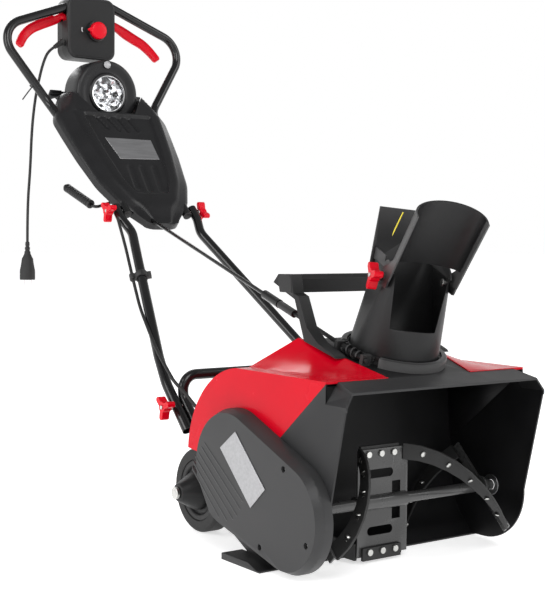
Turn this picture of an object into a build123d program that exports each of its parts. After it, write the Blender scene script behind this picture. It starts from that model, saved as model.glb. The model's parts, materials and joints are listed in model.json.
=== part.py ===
"""Corded electric snow blower, modelled as an assembly of separate pieces.

All lengths are millimetres. +X is the machine's left as seen by the person pushing it, the
intake faces -Y, +Z is up. The origin is on the ground, at the middle of the scraper bar's sole.
Each piece is one labelled solid (or one group of identical fasteners) in its own STEP file.
"""

from math import cos, pi, radians, sin, tan
import os

from build123d import *

# ---------------------------------------------------------------- driving dimensions
HALF_WIDTH = 237.0  # auger housing, outer face of a side plate
WALL = 3.5  # moulded shells
SOLE = 3.0  # thickness of the scraper bar; everything above rests on it

AUGER_Y, AUGER_Z = -107.0, 108.0  # rotor axis
ROTOR_R = 103.0  # rubber tip of the paddles
DRUM_R = 108.0  # inner radius of the drum behind the rotor
SHAFT_R = 10.0
RUN_FIT = 0.06  # radial clearance of a running shaft

BAND_FRONT_Y, BAND_REAR_Y = -232.0, -182.0  # grey band over the intake
BAND_FRONT_Z, BAND_REAR_Z = 329.0, 342.0
TOP_Z = 335.0  # flat top of the housing under the cover
CORNER_Z = 306.0  # lower end of the chamfered top corners
CORNER_X = 208.4

DECK_TILT = 15.2  # the chute deck leans towards the front
DECK_POINT = (0.0, -79.0, 369.0)  # chute axis at the deck's surface
DECK_FRONT_Y = BAND_REAR_Y + 0.2
THROAT_R = 76.0
GEAR_R, GEAR_TEETH = 94.0, 36
CHUTE_TURN = -22.6  # the chute stands turned towards the machine's right

MOTOR_Y, MOTOR_Z = 65.0, 160.0
MOTOR_HOLE_R = 9.0
COVER_X = -270.0  # outer face of the belt cover
WHEEL_Y, WHEEL_R, WHEEL_W = 262.0, 83.0, 42.0
WHEEL_X = 190.0
AXLE_R = 6.0

TUBE_R = 11.0
LOWER_PIVOT = (351.0, 240.0)  # Y, Z of the knobs on the frame
UPPER_PIVOT = (785.0, 645.0)  # Y, Z of the knobs between the handle halves
LOWER_PIVOT_X, UPPER_PIVOT_X = 203.0, 105.5
INNER_TUBE_X = 83.0  # upper handle tube at the upper pivot
BOLT_R = 4.0
HANDLE_SLOPE = 44.5

os.makedirs("parts", exist_ok=True)

# ---------------------------------------------------------------- shared planes
deck = Plane(
    origin=DECK_POINT,
    x_dir=(1, 0, 0),
    z_dir=(0, -sin(radians(DECK_TILT)), cos(radians(DECK_TILT))),
)
chute_frame = Plane(deck.location * Rot(0, 0, CHUTE_TURN))
handle = Plane(
    origin=(0, *UPPER_PIVOT),
    x_dir=(1, 0, 0),
    z_dir=(0, -sin(radians(HANDLE_SLOPE)), cos(radians(HANDLE_SLOPE))),
)


def side_plane(frame, x):
    """Plane across a frame's X axis at x; its axes are the frame's Y and Z."""
    return Plane(
        origin=frame.from_local_coords(Vector(x, 0, 0)),
        x_dir=frame.y_dir,
        z_dir=frame.x_dir,
    )


def cross_plane(x, y, z):
    """Plane square to X, with its origin at the point and axes Y and Z."""
    return Plane(origin=(x, y, z), x_dir=(0, 1, 0), z_dir=(1, 0, 0))


def save(piece, name):
    """Label a finished piece and write it as parts/name.step."""
    piece.label = name
    export_step(piece, os.path.join("parts", name + ".step"))


def rod_x(x_low, x_high, y, z, radius):
    """Plain round rod along X."""
    with BuildPart() as rod:
        with BuildSketch(cross_plane(x_low, y, z)):
            Circle(radius)
        extrude(amount=x_high - x_low)
    return rod.part


def bent_tube(points, radii, outer, inner=0.0):
    """Tube or solid rod along straight runs joined by tangent arcs."""
    with BuildPart() as tube:
        with BuildLine() as path:
            FilletPolyline(*points, radius=radii)
        with BuildSketch(Plane(origin=path.line @ 0, z_dir=path.line % 0)):
            Circle(outer)
            if inner:
                Circle(inner, mode=Mode.SUBTRACT)
        sweep(path=path.line)
    return tube.part


# ---------------------------------------------------------------- auger housing
def side_plate_outline():
    """Outline of a housing side plate in the YZ plane, as a closed line."""
    Polyline(
        (-191.5, 112),
        (-236, CORNER_Z),
        (BAND_FRONT_Y, BAND_FRONT_Z),
        (BAND_REAR_Y, BAND_REAR_Z),
        (BAND_REAR_Y, 339.7),
        (45, 150),
        (168, 162),
        (168, 60),
        (118, 47),
        (30, SOLE),
        (-88, SOLE),
    )
    ThreePointArc((-88, SOLE), (-161, 33), (-191.5, 112))


def corner_profile(inset, mode=Mode.ADD):
    """Front view (XZ) of the chamfered top corners, inset by a wall."""
    lean = inset * 0.45
    Polygon(
        (-HALF_WIDTH + inset, -10),
        (-HALF_WIDTH + inset, CORNER_Z - lean),
        (-CORNER_X + lean, 345 - inset),
        (CORNER_X - lean, 345 - inset),
        (HALF_WIDTH - inset, CORNER_Z - lean),
        (HALF_WIDTH - inset, -10),
        align=None,
        mode=mode,
    )


drum_end = radians(52)  # how far the drum wraps under the rotor


def drum_arc(radius, top):
    """Arc of the drum from its lower lip up to the straight back wall."""
    low = (AUGER_Y + radius * cos(drum_end), AUGER_Z - radius * sin(drum_end))
    middle = (AUGER_Y + radius * cos(drum_end / 2), AUGER_Z - radius * sin(drum_end / 2))
    return low, middle, top


# plates and walls around the intake, seen from the side
inner_arc = drum_arc(DRUM_R, (1, AUGER_Z + 5))
outer_arc = drum_arc(DRUM_R + WALL, (4.6, AUGER_Z + 5))
with BuildPart() as corner_strips:
    with BuildSketch(Plane.XZ.offset(300)):
        corner_profile(0)
        corner_profile(WALL, Mode.SUBTRACT)
    extrude(amount=-600)
    with BuildSketch(Plane.YZ):
        Polygon(
            (-236, CORNER_Z - 8),
            (-236, CORNER_Z),
            (BAND_FRONT_Y, BAND_FRONT_Z),
            (BAND_REAR_Y, BAND_REAR_Z),
            (BAND_REAR_Y, CORNER_Z - 8),
            align=None,
        )
    extrude(amount=HALF_WIDTH, both=True, mode=Mode.INTERSECT)
with BuildPart() as auger_housing:
    with BuildSketch(Plane.YZ):
        with BuildLine():
            Polyline(
                inner_arc[2],
                (20.5, TOP_Z - WALL),
                (BAND_REAR_Y - WALL, TOP_Z - WALL),
                (BAND_REAR_Y - WALL, BAND_REAR_Z - 4.5),
                (BAND_FRONT_Y - 1, BAND_FRONT_Z - 4),
                (BAND_FRONT_Y, BAND_FRONT_Z),
                (BAND_REAR_Y, BAND_REAR_Z),
                (BAND_REAR_Y, TOP_Z),
                (24, TOP_Z),
                outer_arc[2],
            )
            ThreePointArc(outer_arc[2], outer_arc[1], outer_arc[0])
            Polyline(outer_arc[0], (-52, SOLE), (-56, SOLE), inner_arc[0])
            ThreePointArc(inner_arc[0], inner_arc[1], inner_arc[2])
        make_face()
    extrude(amount=HALF_WIDTH - WALL, both=True)
    for plate_x in (-HALF_WIDTH, HALF_WIDTH - WALL):
        with BuildSketch(cross_plane(plate_x, 0, 0)):
            with BuildLine():
                side_plate_outline()
            make_face()
        extrude(amount=WALL)
    # chamfered top corners of the band
    with BuildSketch(Plane.XZ.offset(300)):
        for side in (-1, 1):
            Polygon(
                (side * HALF_WIDTH, CORNER_Z),
                (side * CORNER_X, 345),
                (side * (HALF_WIDTH + 20), 345),
                (side * (HALF_WIDTH + 20), CORNER_Z),
                align=None,
            )
    extrude(amount=-300 - BAND_REAR_Y, mode=Mode.SUBTRACT)
    add(corner_strips.part)
    # throat up to the chute, then the holes for the shafts
    with Locations(deck.location):
        Cylinder(THROAT_R + 4, 160, mode=Mode.SUBTRACT)
    with Locations(cross_plane(0, AUGER_Y, AUGER_Z).location):
        Cylinder(20, 2 * HALF_WIDTH + 2, mode=Mode.SUBTRACT)
    with Locations(cross_plane(-HALF_WIDTH, MOTOR_Y, MOTOR_Z).location):
        Cylinder(MOTOR_HOLE_R, 20, mode=Mode.SUBTRACT)
save(auger_housing.part, "auger_housing")


def slab(outline, x_low, x_high):
    """Plate or block with a YZ outline, between two X values."""
    with BuildPart() as plate:
        with BuildSketch(cross_plane(x_low, 0, 0)):
            Polygon(*outline, align=None)
        extrude(amount=x_high - x_low)
    return plate.part


# ---------------------------------------------------------------- deck under the chute
def deck_plan(margin):
    """Plan of the deck, wider at the rear."""
    Polygon(
        (-98 - margin, DECK_FRONT_Y - margin),
        (-131 - margin, 34 + margin),
        (131 + margin, 34 + margin),
        (98 + margin, DECK_FRONT_Y - margin),
        align=None,
    )


THROAT_LOW_Z = 312.0
with BuildPart() as throat:
    with BuildSketch(deck):
        Circle(THROAT_R + WALL)
    extrude(amount=-100)
    with BuildSketch(Plane.XY.offset(THROAT_LOW_Z)):
        Rectangle(400, 600)
    extrude(amount=200, mode=Mode.INTERSECT)
with BuildPart() as deck_hollow:
    with BuildSketch(Plane.YZ):
        Polygon(
            (-176, TOP_Z - 1),
            (-176, 338.9),
            (22, 392.8),
            (27, 388),
            (30, TOP_Z - 1),
            align=None,
        )
    extrude(amount=140, both=True)
    with BuildSketch(Plane.XY.offset(300)):
        deck_plan(-4)
    extrude(amount=200, mode=Mode.INTERSECT)
with BuildPart() as chute_base:
    with BuildSketch(Plane.YZ):
        Polygon(
            (DECK_FRONT_Y, TOP_Z),
            (DECK_FRONT_Y, 341.5),
            (-177, 342.3),
            (23, 396.7),
            (30, 390),
            (34, TOP_Z),
            align=None,
        )
    extrude(amount=140, both=True)
    with BuildSketch(Plane.XY.offset(300)):
        deck_plan(0)
    extrude(amount=200, mode=Mode.INTERSECT)
    add(deck_hollow.part, mode=Mode.SUBTRACT)
    add(throat.part)
    with BuildSketch(deck.offset(20)):
        Circle(THROAT_R)
    extrude(amount=-140, mode=Mode.SUBTRACT)
save(chute_base.part, "chute_base")


# ---------------------------------------------------------------- red motor cover
def cover_outline(inset):
    """Side outline of the cover; its lower edges are left open by the inset one."""
    drop = 40 if inset else 0
    Polyline(
        (-181.5 + inset, 343.5 - inset),
        (85, 343.5 - inset),
    )
    ThreePointArc(
        (85, 343.5 - inset),
        (187 - 0.7 * inset, 300 - 0.7 * inset),
        (252 - inset, 175),
    )
    Polyline(
        (252 - inset, 175),
        (252 - inset, 173 - drop),
        (45, 150 - drop),
        (-181.5 + inset, 339.3 - drop),
        (-181.5 + inset, 343.5 - inset),
    )


def hump(inset, drop):
    """Raised shoulders of the cover around the deck."""
    low = 343 - drop
    base = Wire.make_polygon(
        [
            (-205 + inset, 95 - inset, low),
            (205 - inset, 95 - inset, low),
            (226 - inset, -181 + inset, low),
            (-226 + inset, -181 + inset, low),
        ]
    )
    top = Wire.make_polygon(
        [
            (-136 + inset, 30 - inset, 399 - inset),
            (136 - inset, 30 - inset, 399 - inset),
            (104 - inset, -172 + inset, 345.5 - inset),
            (-104 + inset, -172 + inset, 345.5 - inset),
        ]
    )
    with BuildPart() as shoulders:
        loft([Face(base), Face(top)], ruled=True)
    return shoulders.part


outer_hump = hump(0, 2)
inner_hump = hump(4.5, 8)
with BuildPart() as cover_hollow:
    with BuildSketch(Plane.YZ):
        with BuildLine():
            cover_outline(WALL)
        make_face()
    extrude(amount=HALF_WIDTH - WALL, both=True)
with BuildPart() as motor_cover:
    with BuildSketch(Plane.YZ):
        with BuildLine():
            cover_outline(0)
        make_face()
    extrude(amount=HALF_WIDTH, both=True)
    add(outer_hump)
    add(cover_hollow.part, mode=Mode.SUBTRACT)
    add(inner_hump, mode=Mode.SUBTRACT)
    with BuildSketch(Plane.XY.offset(310)):
        deck_plan(0.5)
    extrude(amount=200, mode=Mode.SUBTRACT)
    # the side plates of the housing end at this diagonal seam
    with BuildSketch(Plane.YZ):
        Polygon((-186, 343.2), (-260, 343.2), (-260, 100), (45, 100), (45, 150.2), align=None)
    extrude(amount=HALF_WIDTH + 1, both=True, mode=Mode.SUBTRACT)
    with Locations((-180, 250, 190), (180, 250, 190)):
        Cylinder(TUBE_R + 0.5, 60, rotation=(90, 0, 0), mode=Mode.SUBTRACT)
    with Locations((-190, 240, 228)):
        Cylinder(5.6, 60, rotation=(90, 0, 0), mode=Mode.SUBTRACT)
    with Locations(cross_plane(-HALF_WIDTH, MOTOR_Y, MOTOR_Z).location):
        Cylinder(MOTOR_HOLE_R, 20, mode=Mode.SUBTRACT)
save(motor_cover.part, "motor_cover")

# ---------------------------------------------------------------- rear pan and axle block
PAN_FLOOR = 52.0
MOTOR_CAN_R, MOTOR_CORE_R = 48.0, 32.0
with BuildPart() as rear_housing:
    with BuildSketch(Plane.YZ):
        Polygon((10, 149), (10, 66), (28, PAN_FLOOR), (168, PAN_FLOOR + 12), (168, 149), align=None)
    extrude(amount=HALF_WIDTH - WALL, both=True)
    with BuildSketch(Plane.YZ):
        Polygon((160, 149), (160, 64), (245, 55), (285, 55), (285, 112), (245, 149), align=None)
    extrude(amount=160, both=True)
    with BuildSketch(Plane.YZ):
        Polygon((13.5, 150), (13.5, 68), (29, 56), (164.5, 67.5), (164.5, 150), align=None)
    extrude(amount=HALF_WIDTH - 2 * WALL, both=True, mode=Mode.SUBTRACT)
    with BuildSketch(Plane.YZ):
        Polygon((168, 150), (168, 68), (241, 60), (241, 150), align=None)
    extrude(amount=160 - WALL, both=True, mode=Mode.SUBTRACT)
    # saddles that carry the motor
    with Locations((-195, 62, 84), (-105, 62, 84)):
        Box(10, 60, 50)
    with Locations(cross_plane(-150, MOTOR_Y, MOTOR_Z).location):
        Cylinder(MOTOR_CAN_R, 160, mode=Mode.SUBTRACT)
    # lugs that hold the frame bar
    with Locations((-180, 159, 172), (180, 159, 172)):
        Box(28, 18, 66)
    with Locations((-180, 159, 190), (180, 159, 190)):
        Cylinder(TUBE_R, 60, rotation=(90, 0, 0), mode=Mode.SUBTRACT)
    # axle block, hollow from below, with the axle in its end walls
    with Locations((0, 265, 78)):
        Box(300, 32, 60, mode=Mode.SUBTRACT)
    with Locations(cross_plane(0, WHEEL_Y, WHEEL_R).location):
        Cylinder(AXLE_R, 400, mode=Mode.SUBTRACT)
save(rear_housing.part, "rear_housing")

# ---------------------------------------------------------------- belt cover
COVER_SCREWS = ((-109, 189), (-174, 70), (-40, 40))


def cover_side(inset):
    """Outline of the belt cover around the two pulleys."""
    with BuildSketch(mode=Mode.PRIVATE) as side:
        with Locations((AUGER_Y, 105)):
            Circle(100 - inset)
        with Locations((MOTOR_Y, MOTOR_Z)):
            Circle(112 - inset)
        make_hull()
        Polygon(
            (123 - inset, 40),
            (123 - inset, 60 + inset),
            (189 - inset, 153 + inset),
            (200, 60),
            align=None,
            mode=Mode.SUBTRACT,
        )
    return side.sketch


RIM_X = -HALF_WIDTH - 16  # step from the flange to the raised face
with BuildPart() as belt_cover:
    with BuildSketch(Plane((-HALF_WIDTH, 0, 0), x_dir=(0, 1, 0), z_dir=(1, 0, 0))):
        add(cover_side(0))
    extrude(amount=RIM_X + HALF_WIDTH)
    with BuildSketch(Plane((RIM_X, 0, 0), x_dir=(0, 1, 0), z_dir=(1, 0, 0))):
        add(cover_side(0))
    extrude(amount=COVER_X - RIM_X, taper=24)
    with BuildSketch(Plane((-HALF_WIDTH, 0, 0), x_dir=(0, 1, 0), z_dir=(1, 0, 0))):
        add(cover_side(WALL))
    extrude(amount=RIM_X + HALF_WIDTH, mode=Mode.SUBTRACT)
    with BuildSketch(Plane((RIM_X, 0, 0), x_dir=(0, 1, 0), z_dir=(1, 0, 0))):
        add(cover_side(WALL + 1))
    extrude(amount=COVER_X - RIM_X + WALL, taper=24, mode=Mode.SUBTRACT)
    # screw bosses
    for screw_y, screw_z in COVER_SCREWS:
        with Locations(cross_plane(-HALF_WIDTH - 16, screw_y, screw_z).location):
            Cylinder(7, 32)
            Cylinder(2.6, 34, mode=Mode.SUBTRACT)
        with Locations(cross_plane(COVER_X + 4, screw_y, screw_z).location):
            Cylinder(5.5, 12, mode=Mode.SUBTRACT)
save(belt_cover.part, "belt_cover")

with BuildPart() as belt_cover_screws:
    for screw_y, screw_z in COVER_SCREWS:
        with Locations(cross_plane(-HALF_WIDTH - 14, screw_y, screw_z).location):
            Cylinder(2.5, 28)
        with Locations(cross_plane(COVER_X + 8.5, screw_y, screw_z).location):
            Cylinder(4.5, 3)
            Box(1.2, 5, 4, mode=Mode.SUBTRACT)
save(belt_cover_screws.part, "belt_cover_screws")

# ---------------------------------------------------------------- belt drive and motor
BELT = 4.0
BIG_PULLEY_R, SMALL_PULLEY_R = 62.0, 17.0
PULLEY_LOW_X, PULLEY_HIGH_X = -262.0, -243.0
MOTOR_SHAFT_R = 5.0

save(rod_x(-262.5, 232.0, AUGER_Y, AUGER_Z, SHAFT_R), "auger_shaft")


def pulley(radius, bore, y, z):
    """Flat-belt pulley with two low flanges and a lightened web."""
    with BuildPart() as wheel:
        with Locations(cross_plane((PULLEY_LOW_X + PULLEY_HIGH_X) / 2, y, z).location):
            Cylinder(radius, PULLEY_HIGH_X - PULLEY_LOW_X)
            if radius > 40:
                Cylinder(radius - 6, 40, mode=Mode.SUBTRACT)
                Cylinder(radius - 6, 4)
                Cylinder(bore + 8, 15)
            Cylinder(bore, 40, mode=Mode.SUBTRACT)
    return wheel.part


save(pulley(BIG_PULLEY_R, SHAFT_R, AUGER_Y, AUGER_Z), "auger_pulley")
save(pulley(SMALL_PULLEY_R, MOTOR_SHAFT_R, MOTOR_Y, MOTOR_Z), "motor_pulley")


def belt_loop(extra):
    """Filled outline around both pulleys."""
    with BuildSketch(mode=Mode.PRIVATE) as loop:
        with Locations((AUGER_Y, AUGER_Z)):
            Circle(BIG_PULLEY_R + 0.3 + extra)
        with Locations((MOTOR_Y, MOTOR_Z)):
            Circle(SMALL_PULLEY_R + 0.3 + extra)
        make_hull()
    return loop.sketch


with BuildPart() as drive_belt:
    with BuildSketch(cross_plane(PULLEY_LOW_X + 2, 0, 0)):
        add(belt_loop(BELT))
        add(belt_loop(0), mode=Mode.SUBTRACT)
    extrude(amount=15)
save(drive_belt.part, "drive_belt")

CAN_LOW_X, CAN_HIGH_X = -226.0, -80.0
with BuildPart() as motor_can:
    with Locations(cross_plane((CAN_LOW_X + CAN_HIGH_X) / 2, MOTOR_Y, MOTOR_Z).location):
        Cylinder(MOTOR_CAN_R, CAN_HIGH_X - CAN_LOW_X)
        Cylinder(MOTOR_CORE_R, CAN_HIGH_X - CAN_LOW_X - 12, mode=Mode.SUBTRACT)
        Cylinder(MOTOR_SHAFT_R + RUN_FIT, 200, mode=Mode.SUBTRACT)
save(motor_can.part, "motor_can")

with BuildPart() as motor_armature:
    with Locations(cross_plane((CAN_LOW_X + CAN_HIGH_X) / 2, MOTOR_Y, MOTOR_Z).location):
        Cylinder(MOTOR_CORE_R - 4, CAN_HIGH_X - CAN_LOW_X - 40)
    with BuildSketch(cross_plane(PULLEY_LOW_X - 1, MOTOR_Y, MOTOR_Z)):
        Circle(MOTOR_SHAFT_R)
    extrude(amount=CAN_HIGH_X + 8 - PULLEY_LOW_X)
save(motor_armature.part, "motor_armature")

with BuildPart() as auger_bearings:
    for bearing_x in (-234.5, 234.5):
        with Locations(cross_plane(bearing_x, AUGER_Y, AUGER_Z).location):
            Cylinder(20, 5)
            Cylinder(SHAFT_R + RUN_FIT, 6, mode=Mode.SUBTRACT)
save(auger_bearings.part, "auger_bearings")

# ---------------------------------------------------------------- rotor
PADDLE_LOW_X, PADDLE_HIGH_X = -95.0, -5.0
PLATE = 3.0
RUBBER = 6.0
HUB_R = 14.0
FLIGHT_INNER_R = 72.0


def rotor_plane(angle, x=0.0):
    """Plane through the rotor axis: its X axis points outwards, its Y axis along the shaft.

    The angle is 0 towards the intake and 90 at the top.
    """
    outwards = Vector(0, -cos(radians(angle)), sin(radians(angle)))
    return Plane(
        origin=(x, AUGER_Y, AUGER_Z),
        x_dir=outwards,
        z_dir=outwards.cross(Vector(1, 0, 0)),
    )


def flight(start_x, end_x, turn):
    """Ribbon of rubber that winds from a central plate out to an end arm."""
    steps = 9
    with BuildPart() as ribbon:
        for step in range(steps + 1):
            share = step / steps
            along = start_x + (end_x - start_x) * share
            with BuildSketch(rotor_plane(88 - 130 * share + turn, along)):
                with Locations(((FLIGHT_INNER_R + ROTOR_R) / 2, 0)):
                    Rectangle(ROTOR_R - FLIGHT_INNER_R, RUBBER)
        loft(ruled=True)
    return ribbon.part


with BuildPart() as paddle_frame:
    with Locations(cross_plane(-50, AUGER_Y, AUGER_Z).location):
        Cylinder(HUB_R, 118)
    for turn in (0, 180):
        with BuildSketch(rotor_plane(90 + turn, -45)) as steel:
            with Locations((54, 0)):
                Rectangle(86, 118)
            with Locations((52, -6)):
                SlotOverall(60, 16, rotation=90, mode=Mode.SUBTRACT)
            with Locations((22, 32)):
                Rectangle(26, 20, mode=Mode.SUBTRACT)
        extrude(amount=PLATE / 2, both=True)
    with Locations(cross_plane(-50, AUGER_Y, AUGER_Z).location):
        Cylinder(SHAFT_R, 140, mode=Mode.SUBTRACT)
    # bolt holes for the rubber
    for turn in (0, 180):
        with Locations(rotor_plane(90 + turn, -50).location):
            with Locations((88, -30, 0), (88, 0, 0), (88, 30, 0)):
                Cylinder(3.05, 10, mode=Mode.SUBTRACT)
save(paddle_frame.part, "paddle_frame")

with BuildPart() as paddle_rubbers:
    for turn in (0, 180):
        with Locations(rotor_plane(90 + turn, -50).location):
            with Locations((91.5, 0, PLATE / 2 + RUBBER / 2)):
                Box(23, PADDLE_HIGH_X - PADDLE_LOW_X, RUBBER)
            with Locations((88, -30, 0), (88, 0, 0), (88, 30, 0)):
                Cylinder(3.05, 20, mode=Mode.SUBTRACT)
save(paddle_rubbers.part, "paddle_rubbers")

with BuildPart() as rotor_bolts:
    for turn in (0, 180):
        with Locations(rotor_plane(90 + turn, -50).location):
            for bolt_along in (-30, 0, 30):
                with Locations((88, bolt_along, 3)):
                    Cylinder(3, 12)
                with Locations((88, bolt_along, -3.5)):
                    Cylinder(6, 4)
                with Locations((88, bolt_along, 9.5)):
                    Cylinder(6, 4)
save(rotor_bolts.part, "rotor_bolts")

with BuildPart() as flights_left:
    add(flight(3, 200, 0))
    add(flight(3, 200, 180))
save(flights_left.part, "flights_left")
with BuildPart() as flights_right:
    add(flight(-103, -208, 0))
    add(flight(-103, -208, 180))
save(flights_right.part, "flights_right")

with BuildPart() as end_arms:
    for arm_x in (205.7, -213.7):
        with Locations(cross_plane(arm_x, AUGER_Y, AUGER_Z).location):
            Cylinder(19, 5)
        for turn in (-45, 135):
            with BuildSketch(rotor_plane(turn, arm_x)):
                with Locations((54, 0)):
                    Rectangle(90, 5)
            extrude(amount=9, both=True)
        with Locations(cross_plane(arm_x, AUGER_Y, AUGER_Z).location):
            Cylinder(SHAFT_R, 10, mode=Mode.SUBTRACT)
save(end_arms.part, "end_arms")

# ---------------------------------------------------------------- scraper and skids
SKID_HIGH_X = 284.0
with BuildPart() as scraper_bar:
    with Locations((0, 0, SOLE / 2)):
        Box(2 * SKID_HIGH_X, 120, SOLE)
    for side in (-1, 1):
        with BuildSketch(cross_plane(side * (HALF_WIDTH + 1), 0, 0)):
            Polygon((-60, 0), (60, 0), (60, 12), (-25, 12), align=None)
        extrude(amount=side * (SKID_HIGH_X - HALF_WIDTH - 1))
save(scraper_bar.part, "scraper_bar")

# ---------------------------------------------------------------- wheels
TYRE_INNER_R = 60.0


def wheel_profile(points, side):
    """Solid of revolution about the axle from (x, radius) points."""
    with BuildPart() as wheel:
        with BuildSketch(Plane((0, WHEEL_Y, WHEEL_R), x_dir=(side, 0, 0), z_dir=(0, side, 0))):
            Polygon(*points, align=None)
        revolve(axis=Axis((0, WHEEL_Y, WHEEL_R), (1, 0, 0)))
    return wheel.part


for side, name in ((-1, "right"), (1, "left")):
    inner_x, outer_x = WHEEL_X - WHEEL_W / 2, WHEEL_X + WHEEL_W / 2
    tyre = wheel_profile(
        [
            (inner_x, TYRE_INNER_R),
            (inner_x, WHEEL_R - 5),
            (inner_x + 5, WHEEL_R),
            (outer_x - 5, WHEEL_R),
            (outer_x, WHEEL_R - 5),
            (outer_x, TYRE_INNER_R),
        ],
        side,
    )
    save(tyre, "wheel_" + name + "_tyre")
    rim = wheel_profile(
        [
            (inner_x + 1, AXLE_R + RUN_FIT),
            (inner_x + 1, 14),
            (outer_x - 14, 14),
            (outer_x - 14, TYRE_INNER_R - 4),
            (inner_x + 2, TYRE_INNER_R - 4),
            (inner_x + 2, TYRE_INNER_R),
            (outer_x - 2, TYRE_INNER_R),
            (outer_x - 2, 50),
            (outer_x - 8, 46),
            (outer_x - 8, 38),
            (outer_x + 4, 38),
            (outer_x + 43, 17),
            (outer_x + 43, AXLE_R + RUN_FIT),
        ],
        side,
    )
    save(rim, "wheel_" + name + "_rim")

with BuildPart() as wheel_axle:
    with Locations(cross_plane(0, WHEEL_Y, WHEEL_R).location):
        Cylinder(AXLE_R, 2 * 262)
        with Locations((0, 0, 258.5), (0, 0, -258.5)):
            Cylinder(12, 6)
save(wheel_axle.part, "wheel_axle")

# ---------------------------------------------------------------- frame bar and handle tubes
def bolt_hole(pivot, radius=BOLT_R + 0.05):
    """Hole across the machine for a pivot bolt."""
    with Locations(cross_plane(0, *pivot).location):
        Cylinder(radius, 600, mode=Mode.SUBTRACT)


BAR_X = 180.0
bar_leg = [(150, 190), (300, 190), (364, 255), (364, 301)]
bar_points = [(-BAR_X, y, z) for y, z in bar_leg] + [(BAR_X, y, z) for y, z in reversed(bar_leg)]
with BuildPart() as frame_bar:
    add(bent_tube(bar_points, [50, 30, 30, 30, 30, 50], TUBE_R, TUBE_R - 1.5))
    bolt_hole(LOWER_PIVOT)
save(frame_bar.part, "frame_bar")


def lower_points(side):
    """Route of a lower handle tube, from its free end on the frame upwards."""
    return [
        (side * LOWER_PIVOT_X, 308, 195),
        (side * LOWER_PIVOT_X, 392, 281),
        (side * 192, 443, 333),
        (side * 94, 734, 595),
        (side * UPPER_PIVOT_X, 768, 628),
        (side * UPPER_PIVOT_X, 795, 655),
    ]


for side, name in ((-1, "right"), (1, "left")):
    with BuildPart() as lower_tube:
        add(bent_tube(lower_points(side), [120, 120, 60, 40], TUBE_R, TUBE_R - 1.5))
        bolt_hole(LOWER_PIVOT)
        bolt_hole(UPPER_PIVOT)
    save(lower_tube.part, "lower_tube_" + name)

KNOB_HUB_R, KNOB_REACH = 11.0, 25.0


def pivot_bolts(pivot, head_x, collar_x, tip_x):
    """Pair of long bolts with a head inside and a collar outside the tubes."""
    with BuildPart() as bolts:
        for side in (-1, 1):
            low, high = sorted((side * head_x, side * tip_x))
            add(rod_x(low, high, *pivot, BOLT_R))
            low, high = sorted((side * (head_x - 4), side * head_x))
            add(rod_x(low, high, *pivot, 7))
            low, high = sorted((side * collar_x, side * (collar_x + 3)))
            add(rod_x(low, high, *pivot, 8))
    return bolts.part


def lobe_knob(frame, low, high):
    """Three-lobed clamping knob with its bore along the frame's Z axis."""
    with BuildPart() as knob:
        with BuildSketch(frame.offset(low)):
            Circle(KNOB_HUB_R)
            for lobe in (80, 200, 320):
                turned = Rot(0, 0, lobe) * Pos(KNOB_REACH / 2 + 2, 0)
                with Locations(turned):
                    SlotOverall(KNOB_REACH, 12)
        extrude(amount=high - low)
        with BuildSketch(frame.offset(low)):
            Circle(BOLT_R + 0.08)
        extrude(amount=high - low, mode=Mode.SUBTRACT)
    return knob.part


save(pivot_bolts(LOWER_PIVOT, BAR_X - TUBE_R - 0.5, 215, 241), "lower_pivot_bolts")
save(pivot_bolts(UPPER_PIVOT, INNER_TUBE_X - TUBE_R - 1, 117, 137), "upper_pivot_bolts")
for side, name in ((-1, "right"), (1, "left")):
    for pivot, knob_x, level in ((LOWER_PIVOT, 222, "lower"), (UPPER_PIVOT, 120.5, "upper")):
        axis_plane = Plane(origin=(0, *pivot), x_dir=(0, 1, 0), z_dir=(side, 0, 0))
        save(lobe_knob(axis_plane, knob_x, knob_x + 17), "knob_" + level + "_" + name)

upper_half = [
    (83, 776.4, 636.6),
    (83, 808, 667.5),
    (150, 1062, 917),
    (274, 1106, 1098),
    (40, 1106, 1186),
]
upper_points = [(-x, y, z) for x, y, z in upper_half] + list(reversed(upper_half))
UPPER_RADII = [100, 60, 56, 60, 60, 56, 60, 100]
with BuildPart() as upper_handle_tube:
    add(bent_tube(upper_points, UPPER_RADII, TUBE_R, TUBE_R - 1.5))
    bolt_hole(UPPER_PIVOT)
save(upper_handle_tube.part, "upper_handle_tube")

CRANK_AXIS_POINT = Vector(-98, -82, 380)
CRANK_AXIS = Vector(0.0799, 0.9568, 0.2790).normalized()
CRANK_R = 4.0
GUIDE_S = 960.0  # where the crank rod passes the guide under the console


def on_crank(s):
    """Point on the axis of the worm and the crank rod, s along it from the chute."""
    return CRANK_AXIS_POINT + CRANK_AXIS * s


def crank_plane(s):
    """Plane square to the crank rod."""
    return Plane(origin=on_crank(s), x_dir=(0.9968, -0.0799, 0), z_dir=CRANK_AXIS)


# ---------------------------------------------------------------- console
CONSOLE_OUTLINE = [
    (0, -50),
    (45, -38),
    (73, -4),
    (93, 16),
    (124, 88),
    (142, 184),
    (152, 270),
    (158, 326),
    (126, 400),
    (95, 440),
]
CONSOLE_BACK_V, CONSOLE_RIM_V = -13.0, 6.0
CONSOLE_MID_U = 195.0
LAMP_Y, LAMP_Z, LAMP_R = 1035.0, 949.0, 46.0
HOOD_R = 86.0


def console_outline(inset, height):
    """Closed outline in the handle's frame; height gives v as a function of u."""
    right = []
    for x, u in CONSOLE_OUTLINE:
        inner_x = x * (1 - inset / 140)
        inner_u = CONSOLE_MID_U + (u - CONSOLE_MID_U) * (1 - inset / 245)
        right.append((inner_x, inner_u))
    left = [(-x, u) for x, u in reversed(right[1:])]
    return Wire.make_polygon(
        [handle.from_local_coords(Vector(x, u, height(u))) for x, u in right + left]
    )


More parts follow.
